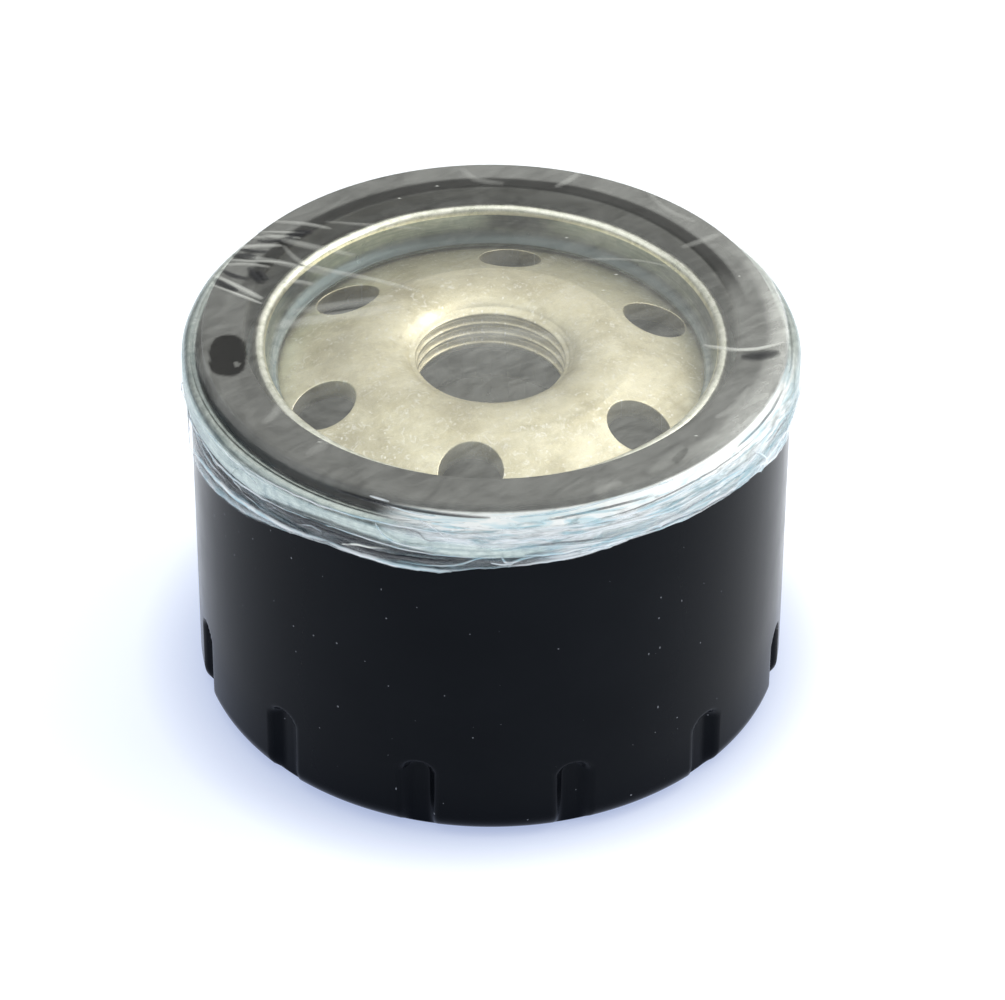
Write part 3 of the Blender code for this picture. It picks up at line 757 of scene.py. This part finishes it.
# Folds on the skirt: half width, light, shade, then the angle and height of each point
SKIRT_FOLDS = (
    (0.4, 1.0, 0.5, -77, 38.4, -69, 39.9, -56, 40.9, -47, 41.6, -38, 42.1, -31, 42.7),
    (0.36, 1.0, 0.5, -31, 42.6, -24, 42.4, -15, 42.1, -7, 42.2),
    (0.6, 0.3, 0.5, -76, 37.4, -64, 38.8, -52, 40.2, -42, 41.4),
    (0.5, 0.65, 1.0, -47, 44.6, -40, 45.4, -32, 45.8, -22, 45.5, -10, 44.9),
    (0.16, 0.5, 0.5, -17, 42.7, -9, 43, -5, 43.6, -2, 45, 1, 45.2),
    (0.22, 0.75, 0.5, -69, 43.2, -60, 43.6, -50, 44.4, -42, 45.5),
    (0.2, 0.6, 0.5, -74, 46.5, -69, 45.1, -66, 43.6, -61, 42.6),
    (0.16, 0.6, 0.5, -80, 44, -74, 42.6, -66, 41.9, -58, 42.2),
    (0.42, 0.55, 1.0, -75, 42.2, -64, 42.4, -55, 42.7, -47, 43.2),
    (0.1, 0.55, 0.5, -53, 46.6, -55, 43.9, -52, 42.8, -46, 42.4),
    (0.1, 0.45, 0.8, -53, 46.7, -50, 47.4, -47, 46.9, -46, 45.6),
    (0.1, 0.4, 0.5, -42, 45.9, -42, 44.8, -44, 43.6),
    (0.1, 0.4, 0.5, -37, 43.5, -34, 44.4, -32, 43.8),
    (0.2, 1.0, 0.0, -28, 43, -24, 44, -18, 44.7),
    (0.12, 0.9, 0.5, 0, 44, 2, 43.6, 4, 43.6),
    (0.22, 0.6, 0.5, 2, 45.4, 3, 43.9, 6, 44.7, 9, 45.4),
    (0.22, 0.9, 0.5, 6, 45.3, 12, 45.2, 18, 45.6),
    (0.25, 0.75, 0.5, 4, 43.3, 14, 43.8, 23, 44.6, 26, 45.6),
    (0.14, 0.7, 0.5, -21, 48.6, -19, 46.9, -15, 46, -10, 46.3),
    (0.16, 0.6, 0.5, -13, 49.4, -10, 48.8, -7, 47.5),
    (0.14, 0.42, 0.8, -17, 48.4, -13, 48.1, -11, 47.3, -8, 47.4),
    (0.18, 1.0, 0.5, -23, 50.6, -19, 50.5),
    (0.16, 0.95, 0.5, -20, 50.2, -14, 49.9, -10, 49.9),
    (0.36, 0.6, 1.0, -30, 50.2, -20, 50.2, -8, 50.1, 0, 50),
    (0.15, 0.75, 0.5, -50, 48.1, -36, 48.35, -20, 48.5, -6, 48.45, 2, 48.3),
    (0.45, 0.4, 1.0, -40, 45, -30, 45.1, -18, 44.8, -4, 44.9),
    (0.4, 0.55, 1.0, -30, 43.6, -22, 43.5, -12, 43.7, -5, 44.2),
    (0.12, 0.7, 0.5, -46, 45.2, -34, 45.9, -24, 45.9, -12, 45.2, -2, 45.1),
    (0.1, 0.5, 0.5, -70, 47.6, -60, 47.9, -50, 47.7, -42, 48),
    (0.14, 0.6, 0.5, -82, 45.2, -76, 43.4, -70, 42.5, -62, 41.9),
    (0.16, 0.55, 0.9, -80, 42.9, -72, 41.4, -60, 41.3, -50, 42),
    (0.25, 0.5, 0.9, 26, 45.2, 36, 45.4, 46, 45, 56, 44.6),
    (0.14, 0.55, 0.9, 9, 49.5, 20, 49.7, 31, 49.6),
    (0.14, 0.5, 0.9, 18, 48.9, 30, 49.1, 44, 49.3, 58, 49.2),
    (0.16, 0.6, 0.9, 52, 49.7, 63, 49.7, 73, 49.8),
    (0.3, 0.35, 0.9, 60, 47.4, 68, 47.6, 78, 47.2),
    (0.18, 0.45, 0.9, 0, 46.4, 12, 46.8, 24, 46.2),
    (0.3, 0.9, 0.5, 2, 49, 14, 48.8, 28, 48.7, 40, 48.9, 54, 48.8),
    (0.22, 0.85, 0.5, 10, 47.6, 22, 47.9, 34, 47.4, 48, 47.9),
    (0.16, 0.8, 0.5, 4, 46.9, 18, 46, 30, 45.2, 40, 44.8),
    (0.14, 0.75, 0.5, 20, 44.9, 32, 44.6, 46, 44.3, 57, 43.7),
    (0.4, 0.95, 0.5, 57, 45.6, 61, 44.6, 66, 43.9, 69, 44.2),
    (0.24, 0.9, 0.5, 60, 42.9, 63, 44, 65, 45.2, 70, 46),
    (0.2, 0.7, 0.5, 1, 50, 12, 50.1, 24, 50.4, 36, 50.2),
    (0.1, 0.6, 0.9, 9, 49.6, 20, 49.8, 31, 49.7),
    (0.1, 0.45, 0.9, 52, 49.8, 63, 49.8, 73, 49.9),
    (0.2, 0.8, 0.5, 55, 48.6, 59, 46, 60, 43.6),
    (0.2, 0.85, 0.5, 60, 43.5, 66, 42.4, 73, 42.2, 80, 41.9),
    (0.12, 0.7, 0.5, 63, 44, 69, 43.4, 77, 43, 84, 43.4),
    (0.14, 0.45, 0.5, 28, 46.6, 40, 47.6, 50, 47.8, 57, 47.2),
    (0.1, 0.4, 0.8, 27, 46.1, 38, 46.6, 50, 46.8, 57, 46.2),
    (0.16, 0.4, 0.5, -100, 41, -90, 43.6, -80, 45.6),
    (0.18, 0.6, 0.5, -118, 41.2, -104, 40.2, -92, 39, -82, 38.6),
    (0.2, 0.6, 0.5, 98, 42, 112, 43.2, 130, 43.4, 146, 42.6),
    (0.14, 0.5, 0.5, 104, 45, 122, 46.8, 138, 47.4),
    (0.2, 0.6, 0.5, 150, 42.4, 165, 43.3, 184, 43, 200, 42.3),
    (0.14, 0.5, 0.5, 168, 46.2, 184, 47.2, 198, 46.6),
    (0.18, 0.55, 0.5, 206, 43.4, 220, 44.2, 236, 43),
    (0.14, 0.45, 0.5, 214, 47.8, 226, 46.4, 240, 46),
)

# Creases on the top: half width, light, shade, then the x and y of each point
TOP_CREASES = (
    (0.65, 0.29, 0.0, -34.8, 10.5, -31, 7.4, -28.4, 5.3),
    (0.4, 0.29, 0.0, -34.9, 8.4, -31.6, 6.3, -28.4, 4.3),
    (0.85, 0.42, 1.0, -34.6, 9.5, -33, 8, -31.6, 7),
    (0.76, 0.42, 1.0, -30.4, 12.2, -29.4, 10, -28.4, 8.6),
    (0.62, 0.22, 0.0, -33, 16.2, -29.5, 16.8, -26.4, 16.9),
    (0.8, 0.42, 1.0, -32.6, 14.6, -30.8, 14.6, -29.6, 14.2),
    (0.53, 0.19, 0.0, -31, 18.6, -27, 18.9, -24, 18.5),
    (0.95, 0.42, 1.0, -26.6, 17.6, -24.6, 19.4, -22.6, 19.9),
    (0.53, 0.16, 0.0, -28, 22.2, -23.5, 21.6, -20.2, 20.6),
    (0.46, 0.16, 0.0, -34, 12.6, -30.6, 12.8, -27.6, 12.2),
    (0.72, 0.14, 0.0, -32, 14.8, -26, 13, -20, 10.4),
    (0.84, 0.13, 0.0, -30, 20.2, -24, 17.2, -17, 14.8),
    (0.64, 0.13, 0.0, -26.3, 16.9, -23.1, 12.7, -14.8, 9.6, -8.7, 7),
    (0.48, 0.1, 0.0, -21.2, 22.2, -14.1, 21.3, -8.9, 20.7),
    (0.62, 0.15, 0.0, -26, 9.2, -24, 9, -22.1, 8.5),
    (1.32, 0.12, 0.0, -27, -0.5, -20, 1.4, -11, 4),
    (1.08, 0.1, 0.0, -25, 2.6, -18, 4.2, -12, 6),
    (0.52, 0.26, 0.0, 26, -4, 29.8, -5, 32.6, -4.6),
    (0.44, 0.45, 0.0, 29.6, -5, 32.6, -4.8, 36, -3.4),
    (1.14, 0.42, 1.0, 30.6, -6.4, 33, -6.2, 35.4, -5.4),
    (0.72, 0.11, 0.0, 23.9, 16.7, 26.8, 18.4, 29.2, 19.9),
    (0.64, 0.12, 0.0, 11.3, 33.4, 9.8, 31.6, 8.1, 30.1),
    (0.32, 0.08, 0.0, 10.1, 14, 17.7, 14, 23.8, 11.9),
    (0.94, 0.1, 0.0, 15.5, -31.5, 13.6, -32.6, 12.2, -33.9),
    (1.19, 0.08, 0.0, 18.6, -30, 21.4, -27, 23, -24.6),
    (1.36, 0.07, 0.0, 22, -27.8, 25.6, -24.4, 29.4, -21.6),
    (0.72, 0.13, 0.0, 27, -19, 29.6, -16.4, 31.4, -12.6),
    (1.02, 0.07, 0.0, -22, -26.6, -20.4, -25, -19.4, -22.8),
    (0.78, 0.09, 0.0, -27.4, -20.4, -26, -18.2, -25.4, -15.2),
    (1.44, 0.08, 0.0, -8, -3.5, 2, -1.6, 10, -3.4),
    (2.21, 0.03, 0.0, -4, -25, 6, -22.5, 20, -18.6),
    (0.64, 0.09, 0.0, 20, 29, 22.4, 25, 26, 22.4),
    (0.8, 0.08, 0.0, -4, 34.4, -2, 31.8, 1.6, 30.9),
    (0.55, 0.4, 1.0, -33.9, 11.6, -32, 10.2, -30.2, 9.6),
    (0.5, 0.38, 1.0, -31.6, 16, -29.8, 15.6, -28, 15.6),
    (0.45, 0.34, 1.0, -29.6, 18, -27.6, 17.8, -25.8, 18.4),
    (0.6, 0.34, 1.0, -29.2, 11.6, -28.4, 10, -27.8, 9.4),
    (0.35, 0.2, 0.0, -33.6, 13.9, -30.6, 13.5, -27.4, 13.4, -24.2, 12.6),
    (0.35, 0.18, 0.0, -29.6, 19.9, -26.6, 19.8, -23.4, 19.6),
)

# Small glints on the top: x, y and length of each
TOP_GLINTS = ((9.5, 18.8, 0.7), (15.6, 10.8, 0.6), (14.0, 7.4, 0.5), (-7.0, 30.2, 0.6),
              (-11.8, 27.4, 0.6), (-20.5, -24.0, 0.8), (24.6, -22.5, 0.7), (31.0, 10.5, 0.5))

# Clear patch with round corners, where the film clings to the gasket, and a hazy spot in it
PATCH_AT = (-32.2, -6.5)
PATCH_HALF = (2.3, 4.3)
PATCH_POWER = 2.7
SPOT_AT = (-31.0, -8.3)
SPOT_R = 0.45


def bump_at(value, centre, width):
    """A smooth hill from 0 to 1 and back, used to place hazy stretches of film."""
    return math.exp(-((value - centre) / width) ** 2)


def patch_amount(x, y):
    """1 inside the clear patch on the gasket, 0 outside and in its hazy spot."""
    ragged = 0.07 * noise.noise(Vector((x * 0.6, y * 0.6, 2.0)))
    across = abs((x - PATCH_AT[0]) / PATCH_HALF[0]) ** PATCH_POWER
    along = abs((y - PATCH_AT[1]) / PATCH_HALF[1]) ** PATCH_POWER
    out = (across + along) ** (1 / PATCH_POWER)
    off_spot = math.hypot(x - SPOT_AT[0], y - SPOT_AT[1]) > SPOT_R
    return smoothstep((1.04 + ragged - out) / 0.10) * off_spot


def top_height(x, y):
    """Slack film over the opening: a slow swell and a few soft ripples."""
    swell = 0.05 * (1 + noise.noise(Vector((x * 0.12, y * 0.12, 1.0))))
    ripple = 0.03 * noise.noise(Vector((x * 0.5 + y * 0.2, y * 0.25, 6.0)))
    return GASKET_TOP + FILM_LIFT + swell + ripple


def top_haze_and_sheen(x, y):
    """The veil is thicker over the gasket and the bore; near the viewer and at the right rim it
    is raised as painted reflection.
    """
    radius = math.hypot(x, y)
    on_gasket = smoothstep((radius - GASKET_IN_R + 0.8) / 1.2)
    # Painted reflection: the veil is brighter towards the viewer and to the right.
    near = smoothstep(0.5 - y / 50)
    right = smoothstep(0.5 + x / 60)
    over_bore = bump_at(math.hypot(x + 1.5, y + 1.0), 0.0, 10.0)
    near *= 1 - 1.5 * on_gasket
    haze_and_sheen = 0.042 + 0.068 * on_gasket + 0.045 * near + 0.030 * right + 0.050 * over_bore
    inner = smoothstep((radius - 29.9) / 0.5) * smoothstep((32.6 - radius) / 0.7)
    inner *= smoothstep((y - 3) / 10)
    haze_and_sheen *= 1 - 0.85 * inner
    # Painted reflection along the right rim.
    rim = smoothstep((radius - 33.6) / 1.6) * smoothstep((x - 12) / 18)
    haze_and_sheen += 0.17 * rim * smoothstep((22 - y) / 16) * smoothstep((y + 30) / 14)
    return haze_and_sheen * (1 - 0.97 * patch_amount(x, y))


def film_edge_z(degrees):
    """Height of the film's cut edge, with a little raggedness."""
    degrees = (degrees + 180) % 360 - 180
    angles, heights = zip(*FILM_EDGE)
    around = math.radians(degrees)
    ragged = 0.18 * noise.noise(Vector((7 * math.cos(around), 7 * math.sin(around), 9.0)))
    return np.interp(degrees, angles, heights) + ragged


def skirt_line(edge_z):
    """Section of the film from the gasket's edge over the bead and down to its own edge."""
    points = [(35.3, GASKET_TOP + 0.08), (36.0, GASKET_TOP + 0.04), (36.3, GASKET_TOP - 0.12),
              (36.9, 50.15), (37.5, 49.45), (38.05, 48.8), (38.42, 48.1), (38.5, 47.2),
              (38.5, 45.7), (38.36, 45.0), (38.0, 44.5), (37.75, 43.9), (37.62, 43.2),
              (37.6, 42.0)]
    return np.array([p for p in points if p[1] > edge_z + 0.2] + [(37.6, edge_z)])


def fold_height(degrees, height):
    """Outward folds: long ones that run round the skirt and small gathers across them."""
    around = math.radians(degrees)
    c, s = math.cos(around), math.sin(around)
    tent = smoothstep((GASKET_TOP - 0.6 - height) / 1.6)
    long_fold = 1 - abs(noise.noise(Vector((c * 3, s * 3, height * 0.55))))
    gather = 1 - abs(noise.noise(Vector((c * 16, s * 16, height * 0.30 + 5))))
    return tent * (0.16 * long_fold ** 5 + 0.13 * gather ** 6)


def skirt_haze_and_sheen(degrees, height):
    """Clear on the left, milky on the near right, where the white is mostly painted reflection of
    the light on that side; that starts further left above the bead.
    """
    degrees = (degrees + 180) % 360 - 180
    start = -22.0 + 27.0 * smoothstep((48.0 - height) / 2.4)
    # Painted reflection: the white on the near right and over the tent.
    right = smoothstep((degrees - start) / 14) * smoothstep((88 - degrees) / 30)
    back = smoothstep((abs(degrees) - 95) / 30)
    tent = bump_at(height, 49.9, 1.0)
    below = smoothstep((45.3 - height) / 0.6)
    face = 1 - 0.45 * bump_at(height, 46.6, 0.9)
    haze_and_sheen = 0.035 + 0.62 * right * face + 0.06 * back + 0.78 * tent * right
    return haze_and_sheen + below * (0.07 + 0.05 * right)


def on_circle(radius, degrees):
    """The point at an angle from +X on a circle round the axis."""
    around = math.radians(degrees)
    return radius * math.cos(around), radius * math.sin(around)


def skirt_position(degrees, height):
    """A point on the film's skirt."""
    line = skirt_line(film_edge_z(degrees))
    radius = np.interp(-height, -line[:, 1], line[:, 0]) + fold_height(degrees, height)
    return np.array((*on_circle(radius, degrees - 90), height))


class FilmMesh:
    """Collects the film's faces and its vertices with the strength of their painted lines, their
    veil with its painted sheen, and their shade.
    """

    def __init__(self):
        self.verts, self.faces = [], []
        self.values = {"painted_line": [], "haze_and_sheen": [], "shade": []}

    def vertex(self, point, painted_line, haze_and_sheen, shade):
        self.verts.append(tuple(point))
        for name, value in (("painted_line", painted_line), ("haze_and_sheen", haze_and_sheen), ("shade", shade)):
            self.values[name].append(float(value))

    def strip(self, centres, outward, half_width, light, shade):
        """A low ridge along a line, carrying a painted light or dark line, that fades out at its
        sides and ends.
        """
        first, count = len(self.verts), len(centres)
        for i in range(count):
            ahead, behind = centres[min(i + 1, count - 1)], centres[max(i - 1, 0)]
            side = np.cross(ahead - behind, outward[i])
            side /= np.linalg.norm(side)
            taper = math.sin(math.pi * (0.04 + 0.92 * i / (count - 1))) ** 0.6
            for share in np.linspace(-1, 1, RIDGE_POINTS):
                bell = (1 - share * share) ** 1.5
                width = half_width * (0.35 + 0.65 * taper)
                point = centres[i] + side * share * width
                rise = min(0.35 * half_width, 0.10)
                point = point + outward[i] * (0.03 + rise * bell * taper)
                self.vertex(point, light * bell * taper, 0.0, shade)
        for i in range(count - 1):
            for k in range(RIDGE_POINTS - 1):
                a = first + i * RIDGE_POINTS + k
                b = a + RIDGE_POINTS
                self.faces.append((a, a + 1, b + 1, b))

    def build(self, name, material):
        mesh = bpy.data.meshes.new(name)
        mesh.from_pydata((np.array(self.verts) * MM).tolist(), [], self.faces)
        mesh.update()
        for title, values in self.values.items():
            mesh.attributes.new(title, "FLOAT", "POINT").data.foreach_set("value", values)
        obj = smooth_object(name, mesh, material)
        thick = obj.modifiers.new("thickness", "SOLIDIFY")
        thick.thickness = FILM_THICK * MM
        thick.offset = 1.0
        return obj


def add_film_top(film, columns):
    """Rings from the centre out to the gasket's edge; returns the last ring's first vertex."""
    radii = np.r_[np.linspace(0.0, 28.0, 40)[1:], np.linspace(28.3, 34.9, 24)]
    film.vertex((0.0, 0.0, top_height(0, 0)), 0.0, top_haze_and_sheen(0, 0), 0.0)
    for radius in radii:
        for k in range(columns):
            x, y = on_circle(radius, 360 * k / columns)
            film.vertex((x, y, top_height(x, y)), 0.0, top_haze_and_sheen(x, y), 0.0)
    film.faces += [(0, 1 + k, 1 + (k + 1) % columns) for k in range(columns)]
    film.faces += ring_faces(len(radii), columns, False, 1)
    return len(film.verts) - columns


def add_film_skirt(film, columns, rows):
    """Rows from the gasket's edge down to the cut edge; returns the first row's first vertex."""
    first = len(film.verts)
    grid = np.zeros((rows, columns, 3))
    for k in range(columns):
        degrees = 360 * k / columns
        line = skirt_line(film_edge_z(degrees + 90))
        along = np.r_[0, np.cumsum(np.hypot(*np.diff(line, axis=0).T))]
        at = np.linspace(0, along[-1], rows)
        grid[:, k, 0] = np.interp(at, along, line[:, 0])
        grid[:, k, 1] = np.interp(at, along, line[:, 1])
        grid[:, k, 2] = degrees
    for i in range(rows):
        for k in range(columns):
            radius, height, degrees = grid[i, k]
            radius += fold_height(degrees + 90, height)
            x, y = on_circle(radius, degrees)
            # A painted highlight along the film's cut edge.
            edge = smoothstep((i / (rows - 1) - 0.965) / 0.035)
            flat = smoothstep((height - GASKET_TOP + 0.75) / 0.3)
            haze_and_sheen = flat * top_haze_and_sheen(x, y) + (1 - flat) * skirt_haze_and_sheen(degrees + 90, height)
            # The tent round the gasket's edge gets less tint: a whiter painted sheen.
            shade = (0.5 - 0.26 * bump_at(height, 50.0, 1.0)) * (1 - flat)
            film.vertex((x, y, height), 0.30 * edge, haze_and_sheen, shade)
    film.faces += ring_faces(rows, columns, False, first)
    return first


def pairs(line):
    return list(zip(line[::2], line[1::2]))


def add_film_lines(film):
    """Folds on the skirt, creases and glints on the top, each a low ridge with a painted light or
    dark line.
    """
    for half_width, light, shade, *line in SKIRT_FOLDS:
        path = smooth_line(pairs(line), 12)
        centres = [skirt_position(a, z) for a, z in path]
        outward = [np.array((c[0], c[1], 8.0)) / np.linalg.norm((c[0], c[1], 8.0))
                   for c in centres]
        film.strip(centres, outward, half_width, light, shade)
    up = np.array((0.0, 0.0, 1.0))
    lines = [(*painted_line[:3], smooth_line(pairs(painted_line[3:]), 8)) for painted_line in TOP_CREASES]
    for x, y, length in TOP_GLINTS:
        lines.append((0.12, 0.5, 0.0, [(x - length / 2, y), (x, y + 0.05), (x + length / 2, y)]))
    for half_width, light, shade, path in lines:
        centres = [np.array((x, y, top_height(x, y))) for x, y in path]
        film.strip(centres, [up] * len(centres), half_width, light, shade)


def build_film(material):
    """Flat top and wrinkled skirt as one sheet, with ridges along its folds."""
    film = FilmMesh()
    columns, ratio, rows = 576, 2, 56
    last_top = add_film_top(film, columns)
    first = add_film_skirt(film, columns * ratio, rows)
    for k in range(columns):
        outer = [first + (k * ratio + j) % (columns * ratio) for j in range(ratio + 1)]
        film.faces.append((last_top + k, *outer, last_top + (k + 1) % columns))
    add_film_lines(film)
    wrap = film.build("film_wrap", material)
    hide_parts("protective_film")
    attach(wrap, "film_cap")


# ---- Carried-over cad nodes

def finish_cad_nodes():
    """Give every CAD node that keeps its shape a finished material."""
    tin = tinplate()
    steel = spring_steel()
    valve = rubber("valve_rubber_skin", 0.018, 4.0, 0.55)
    glue = plain_plastic("cured_potting", (0.48, 0.26, 0.09), (0.62, 0.38, 0.16), 0.45)
    nylon = plain_plastic("nylon_skin", (0.70, 0.68, 0.60), (0.80, 0.78, 0.71), 0.5)
    compound = plain_plastic("seam_compound", (0.08, 0.10, 0.12), (0.13, 0.15, 0.17), 0.8)
    looks = {
        "seam_sealant": compound, "anti_drainback_valve": valve, "top_end_cap": tin,
        "top_potting": glue, "pleated_media": filter_paper(), "media_seam_clip": steel,
        "centre_tube": tin, "bottom_potting": glue, "bottom_end_cap": tin, "bypass_seat": tin,
        "bypass_seal": valve, "bypass_poppet": nylon, "bypass_spring": steel,
        "bypass_cage": steel, "support_spring": steel,
    }
    for node, material in looks.items():
        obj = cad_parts[node]
        for slot in obj.material_slots:
            slot.material = material


# ---- Floor and light

FLOOR_GLOW = 0.67               # the floor is a softly lit table, so shadows stay pale and cool
SHADE_REACH = 10.0              # in mm, reach of the painted contact shadow: the table's colour is darker this close to the can's foot
FLOOR_HALF = 6.0
FLOOR_GAP = 0.0002              # metres between the floor and the part
AIM = Vector((0.0, 0.0, 0.03))  # what the softboxes point at
SOFTBOXES = (                   # name, place, size, power, colour
    ("side_softbox", (0.75, 0.05, 0.62), 0.9, 4.6, (1.0, 0.98, 0.95)),
    ("top_softbox", (-0.40, -0.10, 0.72), 1.1, 2.3, (0.95, 0.98, 1.0)),
)
WORLD_TOWARD = (0.50, 0.35, 0.79)
WORLD_STRENGTH = 1.6
WORLD_GREYS = ((0.0, 0.12), (0.30, 0.12), (0.62, 0.18), (0.75, 0.32), (0.88, 0.42), (0.95, 0.65),
               (1.0, 0.92))     # from facing away to facing WORLD_TOWARD


def build_floor():
    """Pale floor with a painted contact shadow round the can's foot, large enough to fill the
    view from every side.
    """
    n = Nodes("pale_floor")
    n.set(metallic=0.0, roughness=0.9, emission_color=(0.60, 0.70, 1.0, 1.0),
          emission_strength=FLOOR_GLOW)
    white = n.ramp(n.noise(40.0, 2.0), (0.3, (0.90, 0.88, 0.76)), (0.7, (0.92, 0.90, 0.78)))
    # Painted contact shadow: the floor's colour darkens towards the can's foot.
    away = n.math("DIVIDE", n.math("SUBTRACT", n.radius(), (CAN_R - 1.5) * MM), SHADE_REACH * MM,
                  clamp=True)
    n.drive(n.mix(n.ramp(away, (0.0, 1.0), (0.45, 0.55), (1.0, 0.0)), white, (0.34, 0.34, 0.30)),
            "Base Color")
    mesh = bpy.data.meshes.new("floor")
    half = FLOOR_HALF
    corners = [(-half, -half, 0), (half, -half, 0), (half, half, 0), (-half, half, 0)]
    mesh.from_pydata(corners, [], [(0, 1, 2, 3)])
    mesh.materials.append(n.owner)
    floor = new_object("floor", mesh)
    floor.location.z = cad_low.z - FLOOR_GAP


def add_area(name, place, size, power, colour):
    light = bpy.data.lights.new(name, "AREA")
    light.shape = "DISK"
    light.size = size
    light.energy = power
    light.color = colour
    obj = new_object(name, light)
    obj.location = place
    obj.rotation_euler = (AIM - obj.location).to_track_quat("-Z", "Y").to_euler()


def light_world():
    """Bright walls behind and to the right, dimmer on the left and in front."""
    n = Nodes("studio", world=True)
    toward = n.add("ShaderNodeVectorMath", operation="DOT_PRODUCT")
    toward.inputs[1].default_value = Vector(WORLD_TOWARD).normalized()
    n.link(n.coords["Generated"], toward.inputs[0])
    facing = n.math("MULTIPLY_ADD", toward.outputs["Value"], 0.5, 0.5)
    stops = [(position, (grey, grey, grey * 0.98)) for position, grey in WORLD_GREYS]
    n.drive(n.ramp(facing, *stops), "Color")
    n.set(strength=WORLD_STRENGTH)
    bpy.context.scene.world = n.owner


def light_scene():
    """A soft studio: the walls' own light and two round softboxes."""
    light_world()
    for softbox in SOFTBOXES:
        add_area(*softbox)
    view = bpy.context.scene.view_settings
    view.view_transform = "Standard"
    view.look = "None"


# ---- Camera

CAMERA_DISTANCE = 0.49979        # from the axis, towards the viewer
CAMERA_HEIGHT = 0.41342
CAMERA_DOWN_DEG = 37.94
CAMERA_TURN_DEG = -0.173
CAMERA_ROLL_DEG = 0.30
LENS_MM = 179.1


def place_camera():
    data = bpy.data.cameras.new("camera")
    data.lens = LENS_MM
    data.sensor_width = 36.0
    data.clip_end = 50.0
    camera = new_object("camera", data)
    camera.location = (0.0, -CAMERA_DISTANCE, CAMERA_HEIGHT)
    camera.rotation_euler = [math.radians(a) for a in (90 - CAMERA_DOWN_DEG, 0, CAMERA_TURN_DEG)]
    camera.rotation_euler.rotate_axis("Z", math.radians(CAMERA_ROLL_DEG))
    bpy.context.scene.camera = camera


place_camera()
build_floor()
light_scene()
build_can(can_paint())
build_lid(zinc_lid())
build_base_plate(plate_zinc())
build_gasket(rubber("gasket_rubber_skin", 0.016, 6.0, 0.62))
build_film(clear_film())
finish_cad_nodes()
